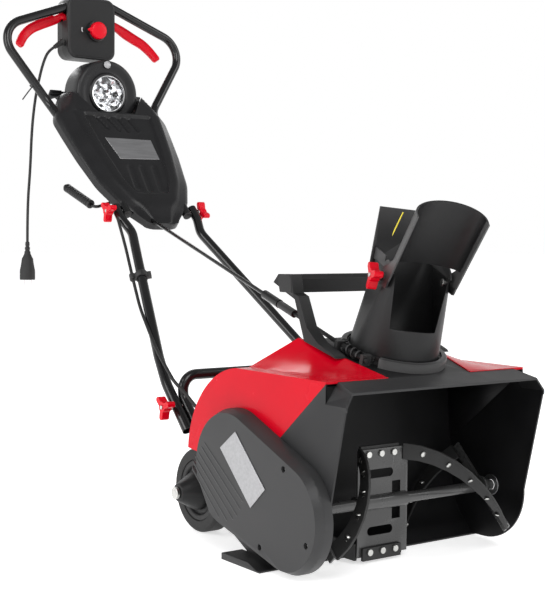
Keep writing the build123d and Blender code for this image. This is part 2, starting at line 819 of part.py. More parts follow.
def console_body(inset, low, top_drop):
    """Lower straight band of the console and its bevelled, rising front."""
    with BuildPart() as body:
        loft(
            [
                Face(console_outline(inset, lambda u: low)),
                Face(console_outline(inset, lambda u: CONSOLE_RIM_V)),
            ],
            ruled=True,
        )
        loft(
            [
                Face(console_outline(inset, lambda u: CONSOLE_RIM_V)),
                Face(console_outline(inset + 13, lambda u: 19.5 + 0.07 * u - top_drop)),
            ],
            ruled=True,
        )
    return body.part


with BuildPart() as lamp_hood:
    with Locations((0, 1070, LAMP_Z)):
        Cylinder(HOOD_R, 84, rotation=(90, 0, 0))
    with BuildSketch(handle.offset(CONSOLE_BACK_V)):
        Rectangle(1200, 2000)
    extrude(amount=400, mode=Mode.INTERSECT)
with BuildPart() as lamp_room:
    with Locations((0, 1072 + WALL, LAMP_Z)):
        Cylinder(HOOD_R - WALL, 84, rotation=(90, 0, 0))
with BuildPart() as console_shell:
    add(console_body(0, CONSOLE_BACK_V, 0))
    add(lamp_hood.part)
    add(console_body(WALL, CONSOLE_BACK_V - 1, WALL), mode=Mode.SUBTRACT)
    add(lamp_room.part, mode=Mode.SUBTRACT)
    with Locations((0, 1030, LAMP_Z)):
        Cylinder(LAMP_R, 40, rotation=(90, 0, 0), mode=Mode.SUBTRACT)
    add(bent_tube(upper_points, UPPER_RADII, TUBE_R + 0.5), mode=Mode.SUBTRACT)
    bolt_hole(UPPER_PIVOT, 9)
    with BuildSketch(crank_plane(GUIDE_S - 170)):
        Circle(CRANK_R + 4)
    extrude(amount=130, mode=Mode.SUBTRACT)
save(console_shell.part, "console_shell")

with BuildPart() as console_back:
    with BuildSketch(handle.offset(-9)):
        Polygon(
            (-60, -8),
            (60, -8),
            (118, 330),
            (95, 400),
            (-95, 400),
            (-118, 330),
            align=None,
        )
    extrude(amount=4)
    with BuildSketch(crank_plane(GUIDE_S - 100)):
        Circle(CRANK_R + 4)
    extrude(amount=80, mode=Mode.SUBTRACT)
    with BuildSketch(handle.offset(-50)):
        with Locations((-21, 39)):
            Rectangle(26, 8)
    extrude(amount=43)
    with BuildSketch(crank_plane(GUIDE_S - 60)):
        Circle(CRANK_R + 0.08)
    extrude(amount=120, mode=Mode.SUBTRACT)
save(console_back.part, "console_back")

with BuildPart() as headlight_lens:
    with Locations((0, LAMP_Y - 3, LAMP_Z)):
        Cylinder(LAMP_R, 3, rotation=(90, 0, 0))
save(headlight_lens.part, "headlight_lens")

with BuildPart() as headlight_reflector:
    with BuildSketch(Plane((0, LAMP_Y - 1.5, LAMP_Z), x_dir=(1, 0, 0), z_dir=(0, 0, 1))):
        Polygon(
            (0, 30), (18, 28), (36, 16), (43, 3), (43, 0), (LAMP_R, 0),
            (LAMP_R, 4), (39, 19), (20, 31), (0, 33), align=None,
        )
    revolve(axis=Axis((0, 0, LAMP_Z), (0, 1, 0)))
save(headlight_reflector.part, "headlight_reflector")

# ---------------------------------------------------------------- switch box and levers
BOX_X, BOX_Z, BOX_W, BOX_H = -16.0, 1120.0, 138.0, 160.0
BOX_FRONT_Y, BOX_SPLIT_Y, BOX_REAR_Y = 1091.0, 1120.0, 1150.0
BOX_ROOF_Z = 1171.0  # the handle tube runs above this
LEVER_PIN = (1110.0, 1085.0)
LEVER_PIN_R = 3.0
LEVER_R = 8.0
BUTTON_X, BUTTON_Z = -3.0, 1115.0
BUTTON_R, BUTTON_STEM_R = 22.0, 8.0


def box_half(y_open, depth, direction):
    """One half of the switch box, open towards the other half."""
    frame = Plane((BOX_X, y_open, BOX_Z), x_dir=(1, 0, 0), z_dir=(0, -1, 0))
    with BuildPart() as half:
        with BuildSketch(frame):
            RectangleRounded(BOX_W, BOX_H, 26)
        extrude(amount=direction * depth, taper=3)
        cavity_z = (BOX_Z - BOX_H / 2 + WALL + BOX_ROOF_Z) / 2
        cavity_h = BOX_ROOF_Z - (BOX_Z - BOX_H / 2 + WALL)
        with BuildSketch(frame):
            with Locations((0, cavity_z - BOX_Z)):
                RectangleRounded(BOX_W - 2 * WALL, cavity_h, 22)
        extrude(amount=direction * (depth - WALL), taper=3, mode=Mode.SUBTRACT)
        # side slots for the levers
        for wall_x in (BOX_X - BOX_W / 2, BOX_X + BOX_W / 2):
            with Locations((wall_x, 1121.5, 1152)):
                Box(16, 49, 32, mode=Mode.SUBTRACT)
    return half.part


with BuildPart() as switch_box_front:
    add(box_half(BOX_SPLIT_Y, BOX_SPLIT_Y - BOX_FRONT_Y, 1))
    add(bent_tube(upper_points, UPPER_RADII, TUBE_R + 0.05), mode=Mode.SUBTRACT)
    with Locations(cross_plane(BOX_X, *LEVER_PIN).location):
        Cylinder(LEVER_PIN_R, BOX_W - WALL)
    with BuildSketch(Plane((BUTTON_X, BOX_FRONT_Y + 1, BUTTON_Z), x_dir=(1, 0, 0), z_dir=(0, -1, 0))):
        Circle(BUTTON_R + 4.5)
        Circle(BUTTON_R + 0.5, mode=Mode.SUBTRACT)
    extrude(amount=10)
    with Locations((BUTTON_X, BOX_FRONT_Y, BUTTON_Z)):
        Cylinder(BUTTON_STEM_R + RUN_FIT, 16, rotation=(90, 0, 0), mode=Mode.SUBTRACT)
save(switch_box_front.part, "switch_box_front")
save(box_half(BOX_SPLIT_Y, BOX_REAR_Y - BOX_SPLIT_Y, -1), "switch_box_back")

with BuildPart() as safety_button:
    with BuildSketch(Plane((BUTTON_X, 1086, BUTTON_Z), x_dir=(1, 0, 0), z_dir=(0, -1, 0))):
        Circle(BUTTON_R)
    extrude(amount=16)
    chamfer(safety_button.faces().sort_by(Axis.Y)[0].edges(), 3)
    with BuildSketch(Plane((BUTTON_X, 1086, BUTTON_Z), x_dir=(1, 0, 0), z_dir=(0, -1, 0))):
        Circle(BUTTON_STEM_R)
    extrude(amount=-16)
save(safety_button.part, "safety_button")

for side, name, arm_x in ((-1, "right", -74), (1, "left", 42)):
    with BuildPart() as lever:
        add(
            bent_tube(
                [
                    (arm_x, 1125, 1148),
                    (arm_x + side * 18, 1136, 1150),
                    (side * 134, 1140, 1121),
                    (side * 178, 1134, 1093),
                    (side * 200, 1122, 1062),
                ],
                [16, 40, 40],
                LEVER_R,
            )
        )
        with BuildSketch(cross_plane(arm_x - 4, 0, 0)):
            with Locations(LEVER_PIN, (1125, 1148)):
                Circle(8)
            make_hull()
        extrude(amount=8)
        with Locations(cross_plane(arm_x, *LEVER_PIN).location):
            Cylinder(LEVER_PIN_R + RUN_FIT, 20, mode=Mode.SUBTRACT)
    save(lever.part, "bail_" + name)

# ---------------------------------------------------------------- cord and plug
CORD_R = 3.5
CORD_Y = 1110.0
CORD_ROUTE = [
    (-112, 1066),
    (-127, 1056),
    (-140, 1031),
    (-152, 990),
    (-165, 930),
    (-174, 852),
    (-178, 754),
    (-186, 660),
    (-186, 569),
]


def free_radii(points):
    """Largest arc at each corner: 0.45 of the shorter run over the tangent of half the turn."""
    radii = []
    for before, corner, after in zip(points, points[1:], points[2:]):
        run_in, run_out = Vector(*corner) - Vector(*before), Vector(*after) - Vector(*corner)
        half_turn = radians(run_in.get_angle(run_out)) / 2
        radii.append(0.45 * min(run_in.length, run_out.length) / tan(half_turn))
    return radii


cord_points = [(x, CORD_Y, z) for x, z in CORD_ROUTE]
cord_radii = free_radii(cord_points)
print("cord radii", [round(radius) for radius in cord_radii])
save(bent_tube(cord_points, cord_radii, CORD_R), "power_cord")

boot_axis = (Vector(*cord_points[1]) - Vector(*cord_points[0])).normalized()
BOOT_START = Vector(*cord_points[0]) - boot_axis * 38
with BuildPart() as cord_boot:
    with BuildSketch(Plane(origin=BOOT_START, z_dir=boot_axis)):
        Circle(9)
    with BuildSketch(Plane(origin=cord_points[0], z_dir=boot_axis)):
        Circle(5.2)
    loft(ruled=True)
    with Locations((BOX_X - BOX_W / 2 + 20, CORD_Y, 1085)):
        Box(40, 60, 60, mode=Mode.SUBTRACT)
save(cord_boot.part, "cord_boot")

PLUG_X, PLUG_TOP_Z = -186.0, 569.0
with BuildPart() as plug:
    with BuildSketch(Plane((PLUG_X, CORD_Y, 0), x_dir=(1, 0, 0), z_dir=(0, -1, 0))):
        Polygon(
            (0, PLUG_TOP_Z), (5.2, PLUG_TOP_Z), (7.5, 540), (14, 528), (16, 512),
            (19, 497), (19, 474), (0, 474), align=None,
        )
    revolve(axis=Axis((PLUG_X, CORD_Y, 0), (0, 0, 1)))
    with Locations((PLUG_X - 9.5, CORD_Y, 465), (PLUG_X + 9.5, CORD_Y, 465)):
        Cylinder(2.4, 20)
save(plug.part, "plug")

# ---------------------------------------------------------------- carry handle
with BuildPart() as carry_handle:
    for side in (-1, 1):
        low, high = sorted((side * 113, side * 138))
        add(
            slab(
                [
                    (92, 516), (108, 500), (40, 470), (10, 394.2), (-84, 369.3),
                    (-80, 374), (-30, 394), (2, 420), (28, 476), (44, 482), (52, 516),
                ],
                low,
                high,
            )
        )
    with BuildSketch(Plane.YZ):
        Polygon((50, 482), (52, 508), (60, 516), (84, 516), (92, 506), (86, 482), align=None)
    extrude(amount=139, both=True)
save(carry_handle.part, "carry_handle")

# ---------------------------------------------------------------- chute
CHUTE_LOW_H, GEAR_LOW_H, GEAR_HIGH_H = 0.3, 7.4, 15.4
CHUTE_TOP_H, PANEL_TOP_H = 171.0, 266.0
CHUTE_TOP_HALF = 57.0
DEFLECTOR_PIVOT = (42.0, 158.0)  # forward and height in the chute's frame
EAR_X, EAR = 62.0, 3.0


def duct(inset):
    """Tapering duct from the round base to the rectangular top."""
    base, half_x, half_y = 84 - inset, CHUTE_TOP_HALF - inset, 61 - inset
    with BuildPart() as tapered:
        with BuildSketch(chute_frame.offset(GEAR_LOW_H)):
            RectangleRounded(2 * base, 2 * base, base - 0.1)
        with BuildSketch(chute_frame.offset(CHUTE_TOP_H)):
            with Locations((0, -15)):
                RectangleRounded(2 * half_x, 2 * half_y, 20 - inset)
        loft(ruled=True)
    return tapered.part


def chute_x_plane(x):
    """Plane across the chute's X axis: its axes point rearwards and up."""
    return side_plane(chute_frame, x)


with BuildPart() as chute_body:
    with BuildSketch(chute_frame.offset(CHUTE_LOW_H)):
        Circle(86)
    extrude(amount=GEAR_LOW_H - CHUTE_LOW_H)
    with BuildSketch(chute_frame.offset(-8)):
        Circle(THROAT_R - 0.4)
    extrude(amount=8 + CHUTE_LOW_H)
    add(duct(0))
    with BuildSketch(chute_x_plane(-62)):
        Polygon((42.5, 150), (46, 150), (46, PANEL_TOP_H), (42.5, PANEL_TOP_H), align=None)
    extrude(amount=124)
    with BuildSketch(chute_frame.offset(-9)):
        Circle(72.5)
    extrude(amount=GEAR_LOW_H + 9.01, mode=Mode.SUBTRACT)
    add(duct(WALL), mode=Mode.SUBTRACT)
    # front opening
    with BuildSketch(
        Plane(
            origin=chute_frame.origin - chute_frame.y_dir * 30,
            x_dir=chute_frame.x_dir,
            z_dir=-chute_frame.y_dir,
        )
    ):
        Polygon((-43, 71.5), (43, 71.5), (51, 180), (-51, 180), align=None)
    extrude(amount=80, mode=Mode.SUBTRACT)
    # holes for the deflector bolts
    with Locations(chute_x_plane(0).location):
        with Locations((-DEFLECTOR_PIVOT[0], DEFLECTOR_PIVOT[1])):
            Cylinder(BOLT_R + 0.05, 200, mode=Mode.SUBTRACT)
save(chute_body.part, "chute_body")

with BuildPart() as chute_gear:
    with BuildSketch(deck.offset(GEAR_LOW_H)):
        Circle(GEAR_R - 2)
        Circle(84.9, mode=Mode.SUBTRACT)
        with PolarLocations(92, GEAR_TEETH):
            Rectangle(10, 9, mode=Mode.SUBTRACT)
    extrude(amount=GEAR_HIGH_H - GEAR_LOW_H)
save(chute_gear.part, "chute_gear")

with BuildPart() as deflector_bolts:
    for side, tip in ((-1, 89), (1, 71)):
        for x_low, x_high, radius in ((50, tip, BOLT_R), (49, 52, 7), (66, 69, 8)):
            with BuildSketch(chute_x_plane(side * x_low)):
                with Locations((-DEFLECTOR_PIVOT[0], DEFLECTOR_PIVOT[1])):
                    Circle(radius)
            extrude(amount=side * (x_high - x_low))
save(deflector_bolts.part, "deflector_bolts")

knob_plane = Plane(
    origin=chute_frame.from_local_coords(Vector(0, -DEFLECTOR_PIVOT[0], DEFLECTOR_PIVOT[1])),
    x_dir=chute_frame.y_dir,
    z_dir=-chute_frame.x_dir,
)
save(lobe_knob(knob_plane, 70, 87), "deflector_knob")

# hood: channel along a line that leans forward, its open side towards the front
HOOD_LEAN = (0.515, 0.857)
hood_origin = chute_frame.from_local_coords(Vector(0, -80, 158))
hood_dir = (-HOOD_LEAN[0]) * chute_frame.y_dir + HOOD_LEAN[1] * chute_frame.z_dir
hood_frame = Plane(origin=hood_origin, x_dir=chute_frame.x_dir, z_dir=hood_dir)
HOOD_SIDE, HOOD_DEPTH = 10.0, 40.0


def hood_section(inset):
    """U-shaped section: straight sides with a half-elliptical back."""
    with Locations((0, HOOD_SIDE / 2)):
        Rectangle(2 * (EAR_X + EAR - inset), HOOD_SIDE)
    with Locations((0, HOOD_SIDE)):
        Ellipse(EAR_X + EAR - inset, HOOD_DEPTH - inset)


with BuildPart() as hood_shell:
    with BuildSketch(hood_frame):
        hood_section(0)
        with Locations((0, -50)):
            Rectangle(200, 100, mode=Mode.SUBTRACT)
    extrude(amount=158)
    with BuildSketch(hood_frame.offset(-1)):
        hood_section(EAR)
        with Locations((0, -48)):
            Rectangle(2 * EAR_X, 100)
    extrude(amount=160, mode=Mode.SUBTRACT)
with BuildPart() as deflector:
    add(hood_shell.part)
    # nothing of the hood lies between the chute's side walls
    with BuildSketch(chute_frame.offset(100)):
        Rectangle(2 * EAR_X, 300)
    extrude(amount=190 - 100, mode=Mode.SUBTRACT)
    for ear_x in (-EAR_X - EAR, EAR_X):
        with BuildSketch(side_plane(hood_frame, ear_x)):
            with Locations((32.6, -19.6)):
                Circle(15)
            with Locations((9, 40), (6, -14)):
                Circle(6)
            make_hull()
        extrude(amount=EAR)
    with Locations(chute_x_plane(0).location):
        with Locations((-DEFLECTOR_PIVOT[0], DEFLECTOR_PIVOT[1])):
            Cylinder(BOLT_R + 0.08, 200, mode=Mode.SUBTRACT)
save(deflector.part, "deflector")

# ---------------------------------------------------------------- worm, crank rod and grip
WORM_PITCH = 15.708
WORM_R, WORM_CORE_R = 10.0, 5.0
THREAD_W = 4.0
WORM_TURNS = 3
STEPS_PER_TURN = 12

with BuildPart() as worm_thread:
    for step in range(WORM_TURNS * STEPS_PER_TURN + 1):
        turns = step / STEPS_PER_TURN - WORM_TURNS / 2
        section = crank_plane(turns * WORM_PITCH)
        radial = section.x_dir * cos(2 * pi * turns) + section.y_dir * sin(2 * pi * turns)
        with BuildSketch(Plane(section.origin, x_dir=radial, z_dir=radial.cross(CRANK_AXIS))):
            with Locations(((WORM_R + WORM_CORE_R) / 2 - 0.5, 0)):
                Rectangle(WORM_R - WORM_CORE_R + 1, THREAD_W)
    loft(ruled=True)
with BuildPart() as chute_worm:
    with BuildSketch(crank_plane(-30)):
        Circle(WORM_CORE_R)
    extrude(amount=60)
    with BuildSketch(crank_plane(-46)):
        Circle(CRANK_R)
    extrude(amount=46 + 262)
    with BuildSketch(crank_plane(205)):
        Circle(8)
    extrude(amount=57)
    add(worm_thread.part)
save(chute_worm.part, "chute_worm")

with BuildPart() as worm_bracket:
    with Locations(deck.location):
        with Locations((-98, -38, 10), (-98, 38, 10)):
            Box(20, 8, 20)
    with BuildSketch(crank_plane(-60)):
        Circle(CRANK_R + RUN_FIT)
    extrude(amount=120, mode=Mode.SUBTRACT)
save(worm_bracket.part, "worm_bracket")

CRANK_END = on_crank(1068)
GRIP_START = Vector(-83, 940, 656)
GRIP_AXIS = Vector(-0.135, 0.909, 0.392).normalized()
with BuildPart() as crank_rod:
    add(
        bent_tube(
            [
                tuple(on_crank(264)),
                tuple(CRANK_END),
                tuple(GRIP_START),
                tuple(GRIP_START + GRIP_AXIS * 138),
            ],
            [14, 12],
            CRANK_R,
        )
    )
    with BuildSketch(crank_plane(264)):
        Circle(9)
    extrude(amount=61)
    with BuildSketch(Plane(GRIP_START + GRIP_AXIS * 135, z_dir=GRIP_AXIS)):
        Circle(7)
    extrude(amount=3)
save(crank_rod.part, "crank_rod")

with BuildPart() as crank_grip:
    with BuildSketch(Plane(GRIP_START + GRIP_AXIS * 18, z_dir=GRIP_AXIS)):
        Circle(11)
        Circle(CRANK_R + 0.08, mode=Mode.SUBTRACT)
    extrude(amount=116)
save(crank_grip.part, "crank_grip")

# ---------------------------------------------------------------- held cable and its clip
CABLE_TOP = [
    (-119, 757, 625),
    (-125, 710, 563),
    (-148, 637, 497),
    (-170, 561, 428),
    (-185, 505, 394),
    (-200, 446, 356),
    (-206, 412, 335),
    (-212, 350, 293),
    (-206.2, 337, 281),
]
CABLE_FOOT = [
    (-205.6, 335.7, 279.8),
    (-200, 322, 268),
    (-192, 284, 238),
    (-190, 262, 230),
    (-190, 238, 228),
]
with BuildPart() as power_cable_lower:
    add(bent_tube(CABLE_TOP, free_radii(CABLE_TOP), CORD_R))
save(power_cable_lower.part, "power_cable_lower")
with BuildPart() as power_cable_body:
    add(bent_tube(CABLE_FOOT, free_radii(CABLE_FOOT), CORD_R))
save(power_cable_body.part, "power_cable_body")

run_low, run_high = Vector(*lower_points(-1)[2]), Vector(*lower_points(-1)[3])
CLIP_AXIS = (run_high - run_low).normalized()
CLIP_POINT = run_low + CLIP_AXIS * 252
clip_plane = Plane(CLIP_POINT, x_dir=Vector(-18.1, 8.7, -2.9).normalized(), z_dir=CLIP_AXIS)
with BuildPart() as cable_clips:
    with BuildSketch(clip_plane.offset(-8)):
        Circle(TUBE_R + 3)
        with Locations((20.3, 0)):
            Circle(CORD_R + 3.5)
        with Locations((-16, 0)):
            Rectangle(12, 9)
        with Locations((12, 0)):
            Rectangle(16, 9)
        Circle(TUBE_R + 0.05, mode=Mode.SUBTRACT)
    extrude(amount=16)
    add(bent_tube(CABLE_TOP, free_radii(CABLE_TOP), CORD_R + 0.1), mode=Mode.SUBTRACT)
save(cable_clips.part, "cable_clips")
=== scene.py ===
"""Looks of the snow blower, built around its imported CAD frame. Metres, +Z up, the intake faces -Y."""

import json
import math

import bmesh
import bpy
from mathutils import Matrix, Vector


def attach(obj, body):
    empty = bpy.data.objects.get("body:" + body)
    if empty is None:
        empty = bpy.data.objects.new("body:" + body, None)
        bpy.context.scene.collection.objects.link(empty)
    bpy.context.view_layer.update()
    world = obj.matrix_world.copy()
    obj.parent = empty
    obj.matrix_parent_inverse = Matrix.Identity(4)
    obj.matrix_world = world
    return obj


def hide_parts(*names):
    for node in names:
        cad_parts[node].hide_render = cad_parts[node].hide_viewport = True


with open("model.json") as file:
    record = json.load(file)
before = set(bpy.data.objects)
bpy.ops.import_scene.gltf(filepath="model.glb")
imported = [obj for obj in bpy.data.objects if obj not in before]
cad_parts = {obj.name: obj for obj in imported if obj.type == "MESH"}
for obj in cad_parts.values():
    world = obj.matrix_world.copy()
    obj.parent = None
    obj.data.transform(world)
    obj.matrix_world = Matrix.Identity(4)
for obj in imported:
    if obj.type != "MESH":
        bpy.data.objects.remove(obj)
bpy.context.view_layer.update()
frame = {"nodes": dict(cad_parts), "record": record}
NODES = frame["nodes"]
BODY_OF = {n: b for b, names in frame["record"]["behaviour"]["bodies"].items() for n in names}
scene = bpy.context.scene
MM = 0.001


def mm(x, y, z):
    """Point given in millimetres."""
    return Vector((x, y, z)) * MM


# ---------------------------------------------------------------- camera
CAMERA_AT = mm(-1505.7, -1796.0, 581.0)
AZIMUTH, ELEVATION, ROLL = math.radians(-35.66), math.radians(2.58), math.radians(0.46)
SENSOR = 36.0
LENS = 75.34

back = Vector(
    (
        math.sin(AZIMUTH) * math.cos(ELEVATION),
        -math.cos(AZIMUTH) * math.cos(ELEVATION),
        math.sin(ELEVATION),
    )
)
level = Vector((math.cos(AZIMUTH), math.sin(AZIMUTH), 0))
upward = back.cross(level)
right = level * math.cos(ROLL) + upward * math.sin(ROLL)
upright = upward * math.cos(ROLL) - level * math.sin(ROLL)
camera_data = bpy.data.cameras.new("camera")
camera_data.lens = LENS
camera_data.sensor_width = SENSOR
camera_data.clip_start = 0.02
camera_data.clip_end = 100
camera = bpy.data.objects.new("camera", camera_data)
scene.collection.objects.link(camera)
camera.matrix_world = Matrix.Translation(CAMERA_AT) @ Matrix((right, upright, back)).transposed().to_4x4()
scene.camera = camera
scene.view_settings.view_transform = "Standard"
scene.view_settings.look = "None"


# ---------------------------------------------------------------- materials
class Graph:
    """Short way to write a material's nodes."""

    def __init__(self, name):
        self.material = bpy.data.materials.new(name)
        self.material.use_nodes = True
        self.tree = self.material.node_tree
        self.shader = self.tree.nodes["Principled BSDF"]

    def node(self, kind, inputs=(), **settings):
        made = self.tree.nodes.new("ShaderNode" + kind)
        for key, value in settings.items():
            setattr(made, key, value)
        for key, value in dict(inputs).items():
            self.set(made.inputs[key], value)
        return made

    def set(self, socket, value):
        if isinstance(value, bpy.types.NodeSocket):
            self.tree.links.new(value, socket)
        else:
            socket.default_value = value

    def ramp(self, factor, *stops):
        ramp = self.node("ValToRGB", {"Fac": factor})
        while len(ramp.color_ramp.elements) < len(stops):
            ramp.color_ramp.elements.new(0.5)
        for element, (place, shade) in zip(ramp.color_ramp.elements, stops):
            element.position = place
            element.color = (shade, shade, shade, 1) if isinstance(shade, float) else (*shade, 1)
        return ramp.outputs["Color"]

    def mix(self, factor, a, b, blend="MIX"):
        made = self.node("Mix", data_type="RGBA", blend_type=blend)
        for index, value in ((0, factor), (6, a), (7, b)):
            self.set(made.inputs[index], value)
        return made.outputs[2]

    def span(self, value, low, high, new_low, new_high):
        made = self.node("MapRange", {0: value, 1: low, 2: high, 3: new_low, 4: new_high})
        return made.outputs[0]


def tint(color, factor):
    return (*[min(1.0, c * factor) for c in color], 1)


def finish_of(
    name,
    color,
    rough,
    metal=0.0,
    coat=0.0,
    grain=1400.0,
    bump=0.12,
    spread=0.12,
    edge_wear_and_sheen=0.0,
    streaks=None,
    specular=0.5,
):
    """Moulded, painted or plated surface: grain, slight cloudiness, dust, and convex edges lightened as
    rubbed wear and as a painted highlight.
    """
    g = Graph(name)
    place = g.node("TexCoord").outputs["Object"]
    if streaks:
        place = g.node("Mapping", {"Vector": place, "Scale": streaks}).outputs[0]
    clouds = g.node("TexNoise", {"Vector": place, "Scale": 16.0, "Detail": 5.0}).outputs["Fac"]
    fine = g.node("TexNoise", {"Vector": place, "Scale": grain, "Detail": 2.0}).outputs["Fac"]
    cells = g.node("TexVoronoi", {"Vector": place, "Scale": grain * 0.7}).outputs["Distance"]
    shade = g.mix(g.ramp(clouds, (0.3, 0.0), (0.7, 1.0)), tint(color, 1 - spread), tint(color, 1 + spread))
    shade = g.mix(g.span(fine, 0.35, 0.65, 0.0, 0.25), shade, tint(color, 0.7))
    # Convex edges, found by pointiness, get a lighter colour: partly rubbed wear, partly a painted highlight
    # along the edges.
    if edge_wear_and_sheen:
        point = g.node("NewGeometry").outputs["Pointiness"]
        worn_and_lit = g.node("Math", {0: g.ramp(point, (0.52, 0.0), (0.6, 1.0)), 1: edge_wear_and_sheen}, operation="MULTIPLY")
        light = tuple(c * 0.6 + 0.25 for c in color)
        shade = g.mix(worn_and_lit.outputs[0], shade, (*light, 1))
    g.set(g.shader.inputs["Base Color"], shade)
    g.set(g.shader.inputs["Roughness"], g.span(clouds, 0.3, 0.7, max(0.04, rough - 0.05), rough + 0.06))
    g.shader.inputs["Metallic"].default_value = metal
    g.shader.inputs["Coat Weight"].default_value = coat
    g.shader.inputs["Coat Roughness"].default_value = 0.08
    g.shader.inputs["Specular IOR Level"].default_value = specular
    relief = g.node("Math", {0: fine, 1: cells}, operation="ADD").outputs[0]
    made = g.node("Bump", {"Height": relief, "Strength": bump, "Distance": 0.0003})
    g.set(g.shader.inputs["Normal"], made.outputs[0])
    return g.material


GREY = finish_of("housing_grain", (0.02, 0.02, 0.021), 0.46, edge_wear_and_sheen=0.1, bump=0.16, spread=0.08, specular=0.28)
COVER_GREY = finish_of(
    "belt_cover_grain", (0.034, 0.034, 0.035), 0.42, edge_wear_and_sheen=0.1, bump=0.14, spread=0.08, specular=0.3
)
RED = finish_of("cover_red_gloss", (0.6, 0.0, 0.012), 0.24, coat=0.03, bump=0.03, spread=0.05, specular=0.12)
SATIN_RED = finish_of("lever_red", (0.66, 0.0, 0.012), 0.3, coat=0.03, bump=0.05, spread=0.05, specular=0.2)
BLACK = finish_of("black_grain", (0.009, 0.009, 0.0095), 0.44, edge_wear_and_sheen=0.16, bump=0.2, spread=0.12, specular=0.3)
CHUTE = finish_of("chute_grain", (0.0105, 0.0105, 0.011), 0.4, edge_wear_and_sheen=0.25, bump=0.14, spread=0.1, specular=0.32)
CONSOLE = finish_of(
    "console_grain", (0.010, 0.010, 0.011), 0.3, edge_wear_and_sheen=0.1, bump=0.16, spread=0.1, specular=0.32
)
# Darker colour for the inner walls of the intake and cover: painted shade.
INSIDE_PAINTED_SHADE = finish_of("housing_inside_painted_shade", (0.006, 0.006, 0.0065), 0.42, bump=0.1, spread=0.2, specular=0.22)
TUBE = finish_of(
    "tube_lacquer", (0.006, 0.006, 0.0065), 0.22, coat=0.25, grain=380.0, bump=0.05, specular=0.3
)
ROTOR = finish_of("rotor_paint", (0.012, 0.012, 0.012), 0.28, coat=0.4, grain=500.0, bump=0.1, edge_wear_and_sheen=0.3)
RUBBER = finish_of("rubber_black", (0.012, 0.012, 0.012), 0.6, grain=700.0, bump=0.3, spread=0.3)
TYRE = finish_of("tyre_black", (0.016, 0.016, 0.016), 0.72, grain=600.0, bump=0.35, spread=0.3)
ZINC = finish_of("zinc_plated", (0.62, 0.62, 0.6), 0.3, metal=1.0, grain=600.0, bump=0.08, spread=0.15)
BRUSHED = finish_of(
    "plate_brushed", (0.42, 0.42, 0.43), 0.4, metal=1.0, grain=240.0, bump=0.12, streaks=(1, 12, 12)
)
CHROME = finish_of("chrome", (0.86, 0.86, 0.87), 0.06, metal=1.0, grain=300.0, bump=0.02, spread=0.03)
BEARING = finish_of("bearing_steel", (0.42, 0.42, 0.43), 0.36, metal=1.0, grain=600.0, bump=0.06)
MOTOR = finish_of("motor_paint", (0.12, 0.12, 0.13), 0.5, grain=800.0, bump=0.15)
YELLOW = finish_of("strip_yellow", (0.75, 0.62, 0.02), 0.4, grain=500.0, bump=0.04)
MARK = finish_of("mark_pale", (0.45, 0.45, 0.46), 0.5, grain=500.0, bump=0.04)


def glass():
    g = Graph("lamp_glass")
    place = g.node("TexCoord").outputs["Object"]
    film = g.node("TexNoise", {"Vector": place, "Scale": 60.0}).outputs["Fac"]
    g.set(g.shader.inputs["Roughness"], g.span(film, 0.3, 0.7, 0.0, 0.05))
    g.shader.inputs["Transmission Weight"].default_value = 1.0
    g.shader.inputs["IOR"].default_value = 1.3
    g.shader.inputs["Base Color"].default_value = (0.97, 0.98, 1.0, 1)
    return g.material


GLASS = glass()


# ---------------------------------------------------------------- mesh helpers
def link(name, mesh, material, body, replaces=()):
    """Puts a mesh or curve in the scene as a piece that rides on a body."""
    made = bpy.data.objects.new(name, mesh)
    scene.collection.objects.link(made)
    mesh.materials.clear()
    mesh.materials.append(material)
    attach(made, body)
    if replaces:
        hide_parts(*replaces)
    return made


def built(name, points, faces):
    mesh = bpy.data.meshes.new(name)
    mesh.from_pydata([tuple(p) for p in points], [], faces)
    mesh.validate()
    work = bmesh.new()
    work.from_mesh(mesh)
    bmesh.ops.recalc_face_normals(work, faces=work.faces)
    work.to_mesh(mesh)
    work.free()
    mesh.shade_smooth()
    return mesh


def round_edges(piece, width, segments=2, angle=30):
    bevel = piece.modifiers.new("round", "BEVEL")
    bevel.width = width
    bevel.segments = segments
    bevel.limit_method = "ANGLE"
    bevel.angle_limit = math.radians(angle)
    bevel.miter_outer = "MITER_ARC"
    weigh = piece.modifiers.new("weigh", "WEIGHTED_NORMAL")
    weigh.keep_sharp = True
    return piece


def refine(node, material, width=0.0012, segments=2, angle=30, extra=None):
    """Copy of a CAD node with clean faces and rounded edges, in its place."""
    mesh = NODES[node].data.copy()
    mesh.name = node + "_look"
    if "custom_normal" in mesh.attributes:
        mesh.attributes.remove(mesh.attributes["custom_normal"])
    work = bmesh.new()
    work.from_mesh(mesh)
    bmesh.ops.remove_doubles(work, verts=work.verts, dist=2e-5)
    bmesh.ops.dissolve_limit(work, angle_limit=math.radians(0.4), verts=work.verts, edges=work.edges)
    work.to_mesh(mesh)
    work.free()
    mesh.shade_smooth()
    mesh.set_sharp_from_angle(angle=math.radians(angle))
    piece = link(node + "_look", mesh, material, BODY_OF[node], (node,))
    if extra:
        extra(piece)
    if width:
        round_edges(piece, width, segments, angle)
    else:
        piece.modifiers.new("weigh", "WEIGHTED_NORMAL").keep_sharp = True
    return piece


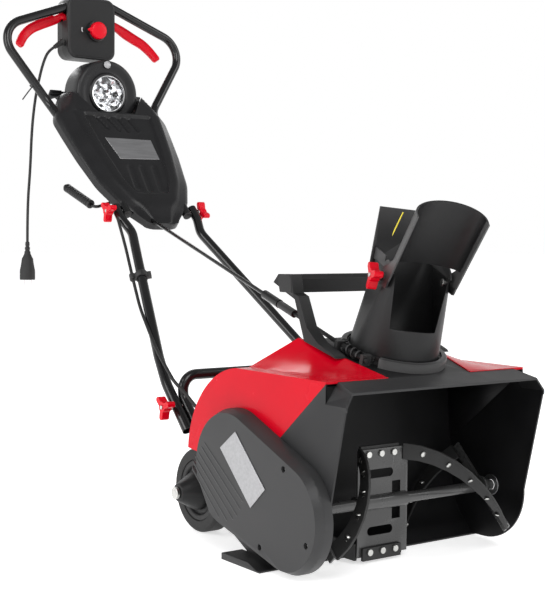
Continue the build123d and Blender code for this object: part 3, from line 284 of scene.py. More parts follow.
def lathe(name, origin, axis, profile, material, body, segments=48, replaces=(), capped=True):
    """Surface turned about an axis; the profile is (distance along, radius) in millimetres."""
    axis = Vector(axis).normalized()
    side = axis.orthogonal().normalized()
    other = axis.cross(side)
    points, faces = [], []
    for along, radius in profile:
        for step in range(segments):
            turn = math.tau * step / segments
            spoke = side * math.cos(turn) + other * math.sin(turn)
            points.append(Vector(origin) + axis * along * MM + spoke * radius * MM)
    rings = len(profile)
    for ring in range(rings - 1):
        for step in range(segments):
            after = (step + 1) % segments
            a, b = ring * segments + step, ring * segments + after
            faces.append((a, b, b + segments, a + segments))
    if capped:
        faces.append(tuple(range(segments))[::-1])
        faces.append(tuple(range((rings - 1) * segments, rings * segments)))
    mesh = built(name, points, faces)
    mesh.set_sharp_from_angle(angle=math.radians(40))
    return link(name, mesh, material, body, replaces)


def skin(name, rings, material, body, replaces=(), capped=True, sharp=40):
    """Quad skin over closed rings of points."""
    count = len(rings[0])
    points = [p for ring in rings for p in ring]
    faces = []
    for ring in range(len(rings) - 1):
        for step in range(count):
            after = (step + 1) % count
            a, b = ring * count + step, ring * count + after
            faces.append((a, b, b + count, a + count))
    if capped:
        faces.append(tuple(range(count))[::-1])
        faces.append(tuple(range((len(rings) - 1) * count, len(rings) * count)))
    mesh = built(name, points, faces)
    mesh.set_sharp_from_angle(angle=math.radians(sharp))
    return link(name, mesh, material, body, replaces)


def wire(name, points, radius, material, body, replaces=(), cyclic=False):
    """Smooth round line through control points."""
    curve = bpy.data.curves.new(name, "CURVE")
    curve.dimensions = "3D"
    curve.bevel_depth = radius * MM
    curve.bevel_resolution = 5
    curve.use_fill_caps = True
    spline = curve.splines.new("NURBS")
    spline.points.add(len(points) - 1)
    for control, point in zip(spline.points, points):
        control.co = (*point, 1)
    spline.use_cyclic_u = cyclic
    spline.order_u = 3
    spline.use_endpoint_u = not cyclic
    spline.resolution_u = 14
    return link(name, curve, material, body, replaces)


def prism(name, outline, offset, material, body, width=0.0, segments=2):
    """Flat outline of points pushed along a vector."""
    count = len(outline)
    points = list(outline) + [p + offset for p in outline]
    faces = [tuple(range(count)), tuple(range(count, 2 * count))[::-1]]
    for step in range(count):
        after = (step + 1) % count
        faces.append((step, after, after + count, step + count))
    piece = link(name, built(name, points, faces), material, body)
    piece.data.shade_smooth()
    if width:
        round_edges(piece, width, segments, 25)
    return piece


def catmull(points, steps=8):
    """Smooth run of points through the given ones."""
    ends = [points[0] * 2 - points[1]] + list(points) + [points[-1] * 2 - points[-2]]
    made = []
    for index in range(1, len(ends) - 2):
        a, b, c, d = ends[index - 1 : index + 3]
        for step in range(steps):
            t = step / steps
            made.append(
                0.5
                * (
                    2 * b
                    + (c - a) * t
                    + (2 * a - 5 * b + 4 * c - d) * t * t
                    + (3 * b - a - 3 * c + d) * t * t * t
                )
            )
    return made + [points[-1]]


# ---------------------------------------------------------------- the handle's and the chute's frames
UPPER_PIVOT = mm(0, 785, 645)
SLOPE = math.radians(44.5)
UP_HANDLE = Vector((0, math.cos(SLOPE), math.sin(SLOPE)))
OUT_HANDLE = Vector((0, -math.sin(SLOPE), math.cos(SLOPE)))


def on_handle(x, u, v):
    """Point in the upper handle's own frame, in millimetres."""
    return UPPER_PIVOT + Vector((x * MM, 0, 0)) + UP_HANDLE * u * MM + OUT_HANDLE * v * MM


DECK_TILT, CHUTE_TURN = math.radians(15.2), math.radians(-22.6)
DECK_POINT = mm(0, -79, 369)
DECK_UP = Vector((0, -math.sin(DECK_TILT), math.cos(DECK_TILT)))
deck_y = Vector((0, math.cos(DECK_TILT), math.sin(DECK_TILT)))
CHUTE_X = Vector((1, 0, 0)) * math.cos(CHUTE_TURN) + deck_y * math.sin(CHUTE_TURN)
CHUTE_Y = deck_y * math.cos(CHUTE_TURN) - Vector((1, 0, 0)) * math.sin(CHUTE_TURN)


def on_chute(x, y, h):
    """Point in the chute's own frame, in millimetres."""
    return DECK_POINT + (CHUTE_X * x + CHUTE_Y * y + DECK_UP * h) * MM


# ---------------------------------------------------------------- cord, boot and plug
CORD_Y = 1110
CORD_ROUTE = [
    (-112, 1066),
    (-127, 1056),
    (-140, 1031),
    (-152, 990),
    (-165, 930),
    (-174, 852),
    (-178, 754),
    (-186, 660),
    (-186, 569),
]
CORD_R = 3.5
cord_points = [mm(x, CORD_Y, z) for x, z in CORD_ROUTE]
cord = wire("power_cord_look", cord_points, CORD_R, RUBBER, "upper_handle", ("power_cord",))

boot_axis = (cord_points[1] - cord_points[0]).normalized()
boot_start = cord_points[0] - boot_axis * 38 * MM
boot_profile = [(8, 9.4), (11, 9.2), (14, 8.2)]
for rib in range(5):
    at, thick = 15 + rib * 4.4, 8.0 - rib * 0.62
    boot_profile += [(at, thick - 1.1), (at + 1.2, thick - 1.1), (at + 1.5, thick), (at + 3.2, thick - 0.1)]
boot_profile += [(37.4, 5.1), (38, 4.4)]
lathe(
    "cord_boot_look",
    boot_start,
    boot_axis,
    boot_profile,
    RUBBER,
    "upper_handle",
    32,
    ("cord_boot",),
)
PLUG_TOP = cord_points[-1]
plug_profile = [(-1, 3.8), (0, 5.2), (8, 5.6), (9, 4.8), (12, 4.9), (13, 6.2), (18, 6.6)]
plug_profile += [(19, 5.6), (22, 5.8)]
plug_profile += [(23, 7.2), (29, 8.0), (36, 11), (42, 14.2), (50, 15.2), (57, 16.2), (66, 18), (72, 19.1)]
plug_profile += [(75, 19.3), (94, 19.3), (95.2, 18.2), (95.2, 16.5), (90, 15.5)]
plug = lathe("plug_look", PLUG_TOP, (0, 0, -1), plug_profile, RUBBER, "upper_handle", 40, ("plug",))
for side, name in ((-9.5, "near"), (9.5, "far")):
    pin_top = PLUG_TOP + mm(side, 0, -88)
    pin_profile = [(0, 2.4), (24.5, 2.4), (25.6, 1.8), (26, 0.9)]
    lathe("plug_pin_" + name, pin_top, (0, 0, -1), pin_profile, CHROME, "upper_handle", 20)

# ---------------------------------------------------------------- floor and light
FLOOR = finish_of("floor_pale", (0.95, 0.95, 0.95), 0.8, grain=40.0, bump=0.0, spread=0.005)
FLOOR.node_tree.nodes["Principled BSDF"].inputs["Emission Color"].default_value = (1, 1, 1, 1)
FLOOR.node_tree.nodes["Principled BSDF"].inputs["Emission Strength"].default_value = 0.6
floor_mesh = built("floor", [(-40, -40, 0), (40, -40, 0), (40, 40, 0), (-40, 40, 0)], [(0, 1, 2, 3)])
floor = bpy.data.objects.new("floor", floor_mesh)
scene.collection.objects.link(floor)
floor_mesh.materials.append(FLOOR)
floor.location.z = -0.0004

world = bpy.data.worlds.new("studio")
world.use_nodes = True
sky = world.node_tree
sky_place = sky.nodes.new("ShaderNodeTexCoord")
sky_split = sky.nodes.new("ShaderNodeSeparateXYZ")
sky_fall = sky.nodes.new("ShaderNodeMapRange")
for index, value in ((1, 0.3), (2, 0.62), (3, 1.0), (4, 0.34)):
    sky_fall.inputs[index].default_value = value
sky.links.new(sky_place.outputs["Generated"], sky_split.inputs[0])
sky.links.new(sky_split.outputs["Z"], sky_fall.inputs[0])
sky.links.new(sky_fall.outputs[0], sky.nodes["Background"].inputs["Strength"])
sky.nodes["Background"].inputs["Color"].default_value = (1, 1, 1, 1)
scene.world = world


def softbox(name, place, target, width, height, power):
    lamp = bpy.data.lights.new(name, "AREA")
    lamp.shape = "RECTANGLE"
    lamp.size, lamp.size_y = width, height
    lamp.energy = power
    holder = bpy.data.objects.new(name, lamp)
    scene.collection.objects.link(holder)
    holder.location = place
    aim = Vector(target) - Vector(place)
    holder.rotation_euler = aim.to_track_quat("-Z", "Y").to_euler()


softbox("key", (-1.2, -2.6, 3.2), (0, 0.2, 0.4), 2.0, 2.0, 60)
softbox("left", (-3.2, 0.6, 1.8), (0, 0.3, 0.5), 1.2, 2.4, 40)
softbox("right", (2.8, -1.4, 2.2), (0, 0.2, 0.5), 1.4, 2.0, 25)
softbox("rear", (0.8, 3.6, 2.6), (0, 0.5, 0.5), 2.0, 1.4, 30)

# ---------------------------------------------------------------- pieces that keep the frame's shape
PLAIN = {
    "auger_housing": (GREY, 0.0014, 2),
    "chute_base": (BLACK, 0.0014, 2),
    "motor_cover": (RED, 0.003, 3),
    "rear_housing": (BLACK, 0.002, 2),
    "belt_cover": (COVER_GREY, 0.003, 4),
    "belt_cover_screws": (ZINC, 0.0004, 2),
    "scraper_bar": (BLACK, 0.0008, 2),
    "wheel_axle": (ZINC, 0.001, 2),
    "frame_bar": (TUBE, 0.0004, 1),
    "carry_handle": (BLACK, 0.0035, 3),
    "worm_bracket": (BLACK, 0.0012, 2),
    "lower_pivot_bolts": (ZINC, 0.0006, 2),
    "upper_pivot_bolts": (ZINC, 0.0006, 2),
    "auger_shaft": (ROTOR, 0.0006, 2),
    "auger_bearings": (BEARING, 0.0004, 2),
    "auger_pulley": (BEARING, 0.0006, 2),
    "motor_pulley": (BEARING, 0.0006, 2),
    "paddle_frame": (ROTOR, 0.0007, 2),
    "paddle_rubbers": (RUBBER, 0.0008, 2),
    "flights_left": (RUBBER, 0.0010, 2),
    "flights_right": (RUBBER, 0.0010, 2),
    "end_arms": (ROTOR, 0.0008, 2),
    "rotor_bolts": (ZINC, 0.0009, 3),
    "motor_can": (MOTOR, 0.0015, 2),
    "motor_armature": (BEARING, 0.0006, 2),
    "drive_belt": (RUBBER, 0.0006, 2),
    "wheel_left_rim": (BLACK, 0.0015, 2),
    "wheel_right_rim": (BLACK, 0.0015, 2),
    "wheel_left_tyre": (TYRE, 0.002, 3),
    "wheel_right_tyre": (TYRE, 0.002, 3),
    "chute_body": (CHUTE, 0.0012, 2),
    "chute_gear": (BLACK, 0.0007, 2),
    "deflector_bolts": (ZINC, 0.0006, 2),
    "deflector": (CHUTE, 0.0009, 2),
    "deflector_knob": (SATIN_RED, 0.0028, 3),
    "knob_lower_left": (SATIN_RED, 0.0028, 3),
    "knob_lower_right": (SATIN_RED, 0.0028, 3),
    "knob_upper_left": (SATIN_RED, 0.0028, 3),
    "knob_upper_right": (SATIN_RED, 0.0028, 3),
    "chute_worm": (BLACK, 0.0004, 1),
    "crank_rod": (TUBE, 0.0006, 2),
    "lower_tube_left": (TUBE, 0.0004, 1),
    "lower_tube_right": (TUBE, 0.0004, 1),
    "cable_clips": (BLACK, 0.0010, 2),
    "power_cable_lower": (RUBBER, 0.0, 1),
    "power_cable_body": (RUBBER, 0.0, 1),
    "upper_handle_tube": (TUBE, 0.0004, 1),
    "console_back": (BLACK, 0.0010, 2),
    "headlight_lens": (GLASS, 0.0008, 2),
    "switch_box_front": (BLACK, 0.0022, 3),
    "switch_box_back": (BLACK, 0.0022, 3),
    "safety_button": (SATIN_RED, 0.0010, 2),
}
looks = {}
for node_name, (material, width, segments) in PLAIN.items():
    looks[node_name] = refine(node_name, material, width, segments)


def paint_inside_shade(piece):
    """Inner walls around the intake, given a darker colour as painted shade."""
    piece.data.materials.append(INSIDE_PAINTED_SHADE)
    for face in piece.data.polygons:
        x, y, z = face.center / MM
        n = face.normal
        inside = abs(x) < 234.0 and -231 < y < 24 and z < 334.5
        facing = -x * n.x > 0.5 * abs(x) or n.y < -0.3 or n.z < -0.3 or (n.z > 0.3 and z < 300)
        if inside and facing:
            face.material_index = 1


paint_inside_shade(looks["auger_housing"])
paint_inside_shade(looks["motor_cover"])
# Dark sheets on the inner side walls of the intake: painted shade.
for side, name in ((-1, "right"), (1, "left")):
    corners = [mm(side * 232.6, y, z) for y, z in ((-181, 334.5), (22, 334.5), (22, 168))]
    prism("intake_shade_sheet_" + name, corners, mm(-side * 0.8, 0, 0), INSIDE_PAINTED_SHADE, "root")

# ---------------------------------------------------------------- console
HALF_OUTLINE = [
    (45, -38),
    (73, -4),
    (93, 16),
    (124, 88),
    (142, 184),
    (152, 270),
    (157, 326),
    (126, 400),
    (95, 440),
]
LOW_U, HIGH_U = -49.0, 436.0
RIM_V, BACK_V = 6.0, -12.5


def half_width(u):
    """Half of the console's width at a height on its face."""
    if u < -38:
        return 45 * math.sqrt(max(0.0, 1 - ((-38 - u) / 12.5) ** 2)) + 0.5
    for (x0, u0), (x1, u1) in zip(HALF_OUTLINE, HALF_OUTLINE[1:]):
        if u <= u1:
            t = (u - u0) / (u1 - u0)
            return x0 + (x1 - x0) * t
    return 95.0


def soft_width(u):
    near = [half_width(min(HIGH_U, max(LOW_U, u + d))) for d in (-12, -6, 0, 6, 12)]
    return sum(near) / 5 if u > -30 else half_width(u)


def ease(value, low, high):
    t = min(1.0, max(0.0, (value - low) / (high - low)))
    return t * t * (3 - 2 * t)


LAMP_SHELF = 318.0
FLANK, RIDGE, PANEL_EDGE, PANEL_STEP = 34.0, 44.0, 58.0, 6.5
GROOVES = ((-31, 66, -26, 134), (1, 58, 6, 134), (34, 60, 40, 134))
SLOTS = ((-58, 306, -41, 268), (-28, 306, -11, 263), (2, 306, 14, 261), (30, 306, 42, 264))


def dent(x, u, line, width):
    """Depth share of a groove along a line on the face."""
    x0, u0, x1, u1 = line
    along = Vector((x1 - x0, u1 - u0))
    share = min(1.0, max(0.0, (Vector((x - x0, u - u0)) @ along) / along.length_squared))
    gap = (Vector((x0, u0)) + along * share - Vector((x, u))).length
    return 1 - ease(gap, width * 0.35, width)


def console_height(x, u, edge):
    """How far the face stands out: sloped flank, rounded ridge, sunk panel and its grooves."""
    crest = 19.5 + 0.07 * u
    chin = ease(u, LOW_U, 20)
    crest = RIM_V + (crest - RIM_V) * (0.25 + 0.75 * chin)
    lean = min(1.0, edge / FLANK)
    high = RIM_V + (crest - 3 - RIM_V) * (0.15 * ease(edge, 0, 4) + 0.85 * lean)
    high += 3 * ease(edge, FLANK - 4, RIDGE)
    inside = ease(edge, PANEL_EDGE, PANEL_EDGE + 7) * ease(u, 40, 49) * (1 - ease(u, 306, 316))
    high -= PANEL_STEP * inside
    for line in GROOVES:
        high -= 2.6 * inside * dent(x, u, line, 11)
    for line in SLOTS:
        high -= 5.0 * dent(x, u, line, 7)
    if u > LAMP_SHELF and abs(x) < lamp_room(u):
        high = -8.0
    return high


def lamp_room(u):
    """Half of the opening around the lamp, which widens upwards between the two wings."""
    return 52 + 0.66 * (u - LAMP_SHELF)


def console_face():
    distances = [0, 1.5, 4, 10, 18, 26, 31, 34, 37, 40, 44, 50, 56, 58, 60, 62, 65]
    rows = [-49, -48.4, -47, -44.5, -41, -37, -32, -26, -20, -12, -4, 4, 12, 20, 28, 34]
    rows += [38, 40, 42, 44, 46, 48, 50] + list(range(54, 258, 4)) + list(range(258, 314, 2))
    rows += [314, 315.5, 317, 318, 318.6, 320] + list(range(326, 437, 10))
    inner = 44
    points, faces = [], []
    for u in rows:
        wide = soft_width(u)
        steps = [d * min(1.0, wide / 78) for d in distances]
        if u > LAMP_SHELF:
            steps = [(wide - lamp_room(u) - 0.6) * d / distances[-1] for d in distances]
        centre = wide - steps[-1]
        if u > LAMP_SHELF:
            centre = lamp_room(u) - 0.6
        xs = [-wide + d for d in steps]
        xs += [centre * (2 * k / inner - 1) for k in range(1, inner)]
        xs += [wide - d for d in reversed(steps)]
        for x in xs:
            edge = (wide - abs(x)) / min(1.0, wide / 78)
            points.append(on_handle(x, u, console_height(x, u, edge)))
    across = 2 * len(distances) + inner - 1
    for row in range(len(rows) - 1):
        for column in range(across - 1):
            a = row * across + column
            faces.append((a, a + 1, a + across + 1, a + across))
    rim = [row * across for row in range(len(rows))]
    rim += [(len(rows) - 1) * across + column for column in range(1, across)]
    rim += [row * across + across - 1 for row in reversed(range(len(rows) - 1))]
    rim += [column for column in reversed(range(1, across - 1))]
    levels = (RIM_V - 2, -4.0, BACK_V + 1, BACK_V)
    place = []
    for index in rim:
        row = index // across
        column = index % across
        wide = soft_width(rows[row])
        x = (points[index].x) / MM
        place.append((x, rows[row]))
    before = rim
    for v in levels:
        ring = []
        for x, u in place:
            ring.append(len(points))
            points.append(on_handle(x, u, v))
        for step in range(len(rim)):
            after = (step + 1) % len(rim)
            faces.append((before[step], before[after], ring[after], ring[step]))
        before = ring
    return built("console_look", points, faces)


console = link("console_look", console_face(), CONSOLE, "upper_handle", ("console_shell",))
thick = console.modifiers.new("wall", "SOLIDIFY")
thick.thickness = 0.0028
thick.offset = -1
console.data.set_sharp_from_angle(angle=math.radians(42))

# ---------------------------------------------------------------- lamp
LAMP = mm(0, 0, 949)
hood_profile = [(1104, 70), (1104, 86), (1060, 86), (1040, 85.8), (1034, 84.4), (1031, 81.5), (1030, 78)]
hood_profile += [(1031.5, 66), (1033, 57), (1032, 53.5), (1029, 52.2), (1026.8, 50.6), (1026.2, 48.6)]
hood_profile += [(1027.4, 46.6), (1031, 46.0), (1046, 45.9), (1050, 40)]
lathe("lamp_hood", LAMP, (0, 1, 0), hood_profile, CONSOLE, "upper_handle", 96)


def painted_reflection_cells():
    """Chrome of the bowl with bright and dark cells painted into its colour: a painted reflection of the
    room, as small mirrors would show it.
    """
    g = Graph("lamp_painted_reflections")
    place = g.node("TexCoord").outputs["Object"]
    cells = g.node("TexVoronoi", {"Vector": place, "Scale": 78.0, "Randomness": 0.9})
    # Bright and dark cells in the base colour: painted reflection.
    shade = g.ramp(cells.outputs["Color"], (0.36, 0.1), (0.5, 0.42), (0.62, 0.9))
    g.set(g.shader.inputs["Base Color"], shade)
    g.shader.inputs["Metallic"].default_value = 1.0
    g.set(g.shader.inputs["Roughness"], g.span(cells.outputs["Distance"], 0.0, 0.01, 0.12, 0.24))
    made = g.node("Bump", {"Height": cells.outputs["Distance"], "Strength": 0.6, "Distance": 0.004})
    g.set(g.shader.inputs["Normal"], made.outputs[0])
    return g.material


def reflector():
    """Bowl of six round cups about a middle one, each a shallow dish."""
    points, faces = [], []
    rings, around = 22, 96
    cups = [(0.0, 0.0)]
    for cup in range(6):
        cup_turn = math.tau * cup / 6
        cups.append((27 * math.cos(cup_turn), 27 * math.sin(cup_turn)))
    for ring in range(rings + 1):
        away = 45.4 * ring / rings
        for step in range(around):
            turn = math.tau * step / around
            x, z = away * math.cos(turn), away * math.sin(turn)
            near = min(math.hypot(x - cx, z - cz) for cx, cz in cups)
            dish = 6.5 * (1 - ease(near, 0, 14.5))
            points.append(LAMP + mm(x, 1037 + dish, z))
    for ring in range(rings):
        for step in range(around):
            after = (step + 1) % around
            a, b = ring * around + step, ring * around + after
            faces.append((a, b, b + around, a + around))
    return built("headlight_reflector_look", points, faces)


link(
    "headlight_reflector_look",
    reflector(),
    painted_reflection_cells(),
    "upper_handle",
    ("headlight_reflector",),
)
ring_profile = [(1027.2, 46.2), (1026.4, 45.4), (1026.6, 44.2), (1029, 43.4), (1031, 43.2), (1031, 46)]
lathe("lamp_ring", LAMP, (0, 1, 0), ring_profile, CHROME, "upper_handle", 72, capped=False)
disc_at = mm(-4, 1027.5, 1022)
disc_profile = [(0, 9.5), (-1.4, 9.5), (-2, 8.8), (-2, 7.6), (-1.2, 7.0), (-1.4, 3.0), (-1.6, 0.5)]
lathe("lamp_top_disc", disc_at, (0, 1, 0), disc_profile, BRUSHED, "upper_handle", 40)

# ---------------------------------------------------------------- plates without lettering
badge_outline = [on_handle(x, u, 0) for x, u in ((-62, 231), (67, 231), (67, 164), (-44, 160))]
badge_face = [19.5 + 0.07 * u - PANEL_STEP for u in (231, 231, 164, 160)]
badge_points = [p + OUT_HANDLE * (v - 0.5) * MM for p, v in zip(badge_outline, badge_face)]
prism(
    "console_plate", badge_points, OUT_HANDLE * 1.8 * MM, BRUSHED, "upper_handle", 0.0007, 3
)


def side_plate(outline, x, lift):
    """Silver plate on the flank of the belt cover, given by (y, z) corners."""
    points = [mm(x, y, z) for y, z in outline]
    return prism("side_plate", points, mm(-lift, 0, 0), BRUSHED, "root", 0.0007, 3)


SIDE_PLATE = ((37, 235), (86, 199), (-13, 105), (-57, 145))
side_plate(SIDE_PLATE, -270.0, 1.6)

# ---------------------------------------------------------------- ribs on the belt cover
RIBS = (
    ((148, 205), (6, 108)),
    ((158, 196), (14, 92)),
    ((168, 184), (24, 78)),
    ((176, 172), (38, 70)),
    ((182, 160), (58, 64)),
    ((186, 148), (86, 66)),
)
for index, (first, last) in enumerate(RIBS):
    start, stop = mm(-268.2, *first), mm(-268.2, *last)
    run = (stop - start).normalized()
    cross = Vector((1, 0, 0)).cross(run)
    rings = []
    for place, grow in ((0.0, 0.2), (0.06, 1.0), (0.94, 1.0), (1.0, 0.2)):
        centre = start.lerp(stop, place)
        ring = []
        for step in range(16):
            turn = math.tau * step / 16
            ring.append(
                centre + cross * math.cos(turn) * 2.6 * grow * MM + mm(math.sin(turn) * 3.0 * grow, 0, 0)
            )
        rings.append(ring)
    skin("cover_rib_%d" % (index + 1), rings, COVER_GREY, "root")

# ---------------------------------------------------------------- switch box rim and button pointer
BOX_X, BOX_Z, BOX_W, BOX_H = -16.0, 1120.0, 138.0, 160.0


def rounded_ring(half_w, half_h, radius, y, count=10):
    """Closed run of points round a rounded rectangle on the box's face."""
    points = []
    corners = ((1, 1, 0), (-1, 1, 90), (-1, -1, 180), (1, -1, 270))
    for sx, sz, begin in corners:
        cx, cz = BOX_X + sx * (half_w - radius), BOX_Z + sz * (half_h - radius)
        for step in range(count + 1):
            turn = math.radians(begin + 90 * step / count)
            points.append(mm(cx + radius * math.cos(turn), y, cz + radius * math.sin(turn)))
    return points


def box_face():
    """Front of the box: a raised rim around a flat panel, open behind the button."""
    hub, inner = [], []
    for point in rounded_ring(BOX_W / 2 - 9, BOX_H / 2 - 9, 19.0, 0.0, 12):
        away = Vector((point.x / MM + 3, point.z / MM - 1115)).normalized()
        hub.append(mm(-3 + away.x * 26.2, 1090.2, 1115 + away.y * 26.2))
        inner.append(mm(-3 + away.x * 24.5, 1090.2, 1115 + away.y * 24.5))
    rings = []
    rim = ((2.6, 1092.0), (2.8, 1090.2), (4.2, 1088.9), (6.0, 1088.6), (7.4, 1089.1))
    for inset, y in rim + ((9.4, 1090.2), (10.6, 1090.2)):
        rings.append(rounded_ring(BOX_W / 2 - inset, BOX_H / 2 - inset, 27.5 - inset, y, 12))
    rings += [hub, inner]
    rings.append([p + mm(0, 1.6, 0) for p in inner])
    return rings


skin("switch_box_face", box_face(), BLACK, "upper_handle", capped=False, sharp=50)
BUTTON = mm(-3, 1070, 1115)
cap_profile = [(15, 21.2), (3.5, 21.8), (1.6, 21.2), (0.3, 19.4), (-0.6, 16.5)]
cap_profile += [(-1.2, 10), (-1.4, 3), (-1.4, 0.5)]
lathe("button_cap", BUTTON, (0, 1, 0), cap_profile, SATIN_RED, "button", 64)
pointer = [mm(-3 + x, 1071.5, 1115 + z) for x, z in ((-19, 8), (-31.5, 1.5), (-31.5, -1.5), (-19, -8))]
prism("button_pointer", pointer, mm(0, 6, 0), SATIN_RED, "button", 0.0016, 3)
tick_at = mm(-44, 1090.6, 1116)
tick = [tick_at + mm(x, 0, z) for x, z in ((0, 6), (3, 5), (1.5, 0), (3.5, -6), (1, -7), (-2, 0))]
prism("switch_mark", tick, mm(0, -0.8, 0), MARK, "upper_handle", 0.0003, 1)

# ---------------------------------------------------------------- levers
for side, name, arm_x, body in ((-1, "right", -74, "lever_right"), (1, "left", 42, "lever_left")):
    route = [
        mm(arm_x - side * 2, 1126, 1148),
        mm(arm_x + side * 10, 1132, 1149.5),
        mm(side * 96, 1138.5, 1137),
        mm(side * 134, 1139.5, 1120),
        mm(side * 160, 1137.5, 1107),
        mm(side * 178, 1134, 1092),
        mm(side * 190, 1128.5, 1077),
        mm(side * 200, 1122, 1061.5),
    ]
    line = catmull(route, 7)
    rings = []
    for index, point in enumerate(line):
        ahead = (line[min(index + 1, len(line) - 1)] - line[max(index - 1, 0)]).normalized()
        out = Vector((0, 1, 0))
        out = (out - ahead * out.dot(ahead)).normalized()
        up = ahead.cross(out).normalized()
        share = index / (len(line) - 1)
        grown = ease(share, 0.12, 0.36)
        tall = 7.6 + (6.4 - 3.4 * share + 0.9 * math.sin(share * math.pi)) * grown
        point = point - up * (tall - 7.6) * MM
        deep = 7.2 + 0.4 * grown
        end = min(index, len(line) - 1 - index)
        shrink = (0.72, 0.92, 1.0)[min(end, 2)]
        ring = []
        for step in range(28):
            turn = math.tau * step / 28
            c, s = math.cos(turn), math.sin(turn)
            power = 0.62
            flat_c = math.copysign(abs(c) ** power, c)
            flat_s = math.copysign(abs(s) ** power, s)
            ring.append(point + (up * flat_c * tall + out * flat_s * deep) * shrink * MM)
        rings.append(ring)
    skin("bail_%s_look" % name, rings, SATIN_RED, body, ("bail_" + name,), sharp=60)
    arm = []
    for (y, z), radius, begin in (((1110, 1085), 8, 200), ((1125, 1148), 8, 20)):
        for step in range(9):
            turn = math.radians(begin + 180 * step / 8 - 12)
            arm.append(mm(arm_x - 4, y + radius * math.cos(turn), z + radius * math.sin(turn)))
    prism("bail_%s_arm" % name, arm, mm(8, 0, 0), SATIN_RED, body, 0.0010, 2)

# ---------------------------------------------------------------- crank grip
GRIP_START = mm(-83, 940, 656)
GRIP_AXIS = Vector((-0.135, 0.909, 0.392)).normalized()
grip_profile = [(18, 7.5), (18.3, 9.8), (20.5, 11.2), (24, 11.4), (26, 10.6)]
for ridge in range(11):
    at = 28 + ridge * 8.4
    grip_profile += [(at, 10.5), (at + 0.8, 10.9), (at + 6.8, 10.9), (at + 7.6, 10.5)]
grip_profile += [(122, 10.8), (127, 11.3), (131, 10.9), (133.4, 9.0), (134, 6.0)]
lathe(
    "crank_grip_look",
    GRIP_START,
    GRIP_AXIS,
    grip_profile,
    BLACK,
    "grip",
    40,
    ("crank_grip",),
)

# ---------------------------------------------------------------- bolts along the rubber flights
ROTOR_AT = mm(0, -107, 108)
for name, start_x, end_x in (("left", 3, 200), ("right", -103, -208)):
    heads, faces = [], []
    for turn in (0, 180):
        for share in (0.12, 0.3, 0.48, 0.66, 0.84):
            angle = math.radians(88 - 130 * share + turn)
            outwards = Vector((0, -math.cos(angle), math.sin(angle)))
            tangent = outwards.cross(Vector((1, 0, 0)))
            along = mm(start_x + (end_x - start_x) * share, 0, 0)
            centre = ROTOR_AT + along + outwards * 88 * MM
            for face_side in (1, -1):
                base = centre + tangent * face_side * 3.0 * MM
                rows = ((0.0, 5.6), (1.6, 5.6), (2.6, 4.6), (3.0, 2.2))
                begin = len(heads)
                spin = outwards
                other = tangent.cross(spin)
                for lift, radius in rows:
                    for step in range(18):
                        around = math.tau * step / 18
                        heads.append(
                            base
                            + tangent * face_side * lift * MM
                            + (spin * math.cos(around) + other * math.sin(around)) * radius * MM
                        )
                for row in range(len(rows) - 1):
                    for step in range(18):
                        after = (step + 1) % 18
                        a, b = begin + row * 18 + step, begin + row * 18 + after
                        faces.append((a, b, b + 18, a + 18))
                last = begin + (len(rows) - 1) * 18
                faces.append(tuple(range(last, last + 18)))
                faces.append(tuple(range(begin, begin + 18))[::-1])
    mesh = built("flight_bolts_" + name, heads, faces)
    mesh.set_sharp_from_angle(angle=math.radians(35))
    link("flight_bolts_" + name, mesh, ZINC, "rotor")

# ---------------------------------------------------------------- collar around the chute's gear
collar_section = ((95.6, 0.2), (98.6, 0.2), (98.6, 15.2), (97.6, 17.0), (95.6, 17.8), (88.5, 17.8))
collar_section += ((88.5, 16.2), (95.0, 16.2), (95.6, 15.0))
collar_rings = []
for step in range(97):
    turn = math.radians(-180 + 34 + (360 - 68) * step / 96)
    spoke = Vector((math.cos(turn), 0, 0)) + deck_y * math.sin(turn)
    collar_rings.append([DECK_POINT + (spoke * r + DECK_UP * h) * MM for r, h in collar_section])
skin("gear_collar", collar_rings, CHUTE, "root", sharp=35)

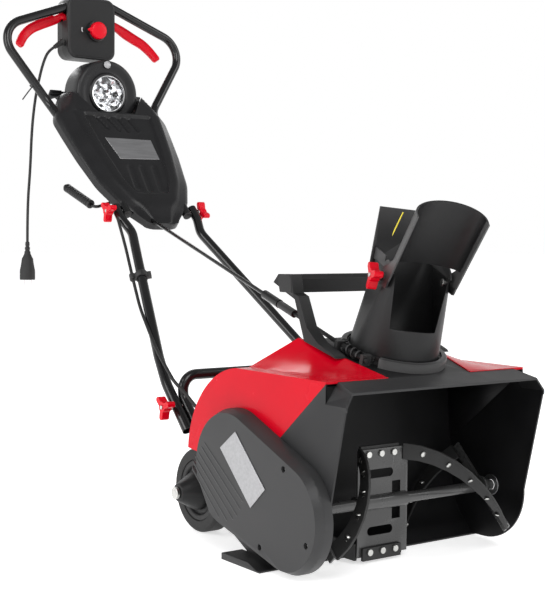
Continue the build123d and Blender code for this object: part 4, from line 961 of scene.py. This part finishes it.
# ---------------------------------------------------------------- chute trim
cheek = [(-66, 169)]
for step in range(10):
    turn = math.radians(156 - 12 * step)
    cheek.append((-42 + 30.3 * math.cos(turn), 158 + 30.3 * math.sin(turn)))
cheek += [(-20, 191), (42.4, 191), (42.4, 169)]
for side, name in ((-1, "right"), (1, "left")):
    outline = [on_chute(side * 56.6, y, h) for y, h in cheek]
    prism("chute_cheek_" + name, outline, CHUTE_X * -side * 3 * MM, CHUTE, "chute", 0.0006)
strip = [on_chute(-66.2, y, h) for y, h in ((-62, 236), (-70, 246), (-97, 287), (-92, 286), (-66, 248))]
prism("hood_strip", strip, CHUTE_X * -0.7 * MM, YELLOW, "deflector", 0.0002, 1)
for angle in (-118, -25, 60, 150):
    spoke = CHUTE_X * math.cos(math.radians(angle)) + CHUTE_Y * math.sin(math.radians(angle))
    head_at = on_chute(0, 0, 0) + spoke * 80.0 * MM
    lathe(
        "flange_screw_%d" % (angle % 360),
        head_at + DECK_UP * 15.2 * MM,
        DECK_UP,
        [(0, 4.2), (1.2, 4.2), (2.0, 3.4), (2.1, 1.6), (0.9, 1.2)],
        ZINC,
        "chute",
        24,
    )

# ---------------------------------------------------------------- plugs in the lower ends of the handle tube
for side, name in ((-1, "right"), (1, "left")):
    plug_rows = [(-4, 9.2), (0, 9.3), (0, 11.0), (1.4, 11.0), (2.4, 9.8), (2.8, 5.0)]
    tube_end = mm(side * 83, 776.4, 636.6)
    lathe(
        "tube_plug_" + name,
        tube_end,
        (0, -0.715, -0.699),
        plug_rows,
        BLACK,
        "upper_handle",
        32,
    )

# ---------------------------------------------------------------- tie on the handle tube
tie_at = mm(-180, 1083.5, 966)
tie_axis = (mm(-240, 1095, 1050) - mm(-150, 1062, 917)).normalized()
tie_profile = [(-2.6, 11.2), (-2.6, 12.6), (2.6, 12.6), (2.6, 11.2)]
lathe("cable_tie", tie_at, tie_axis, tie_profile, RUBBER, "upper_handle", 40, capped=False)
tail = [tie_at + mm(x, y, z) for x, y, z in ((2, -13, 4), (-8, -16, -6), (-22, -17, -22), (-38, -16, -44))]
wire("cable_tie_tail", tail, 1.6, RUBBER, "upper_handle")
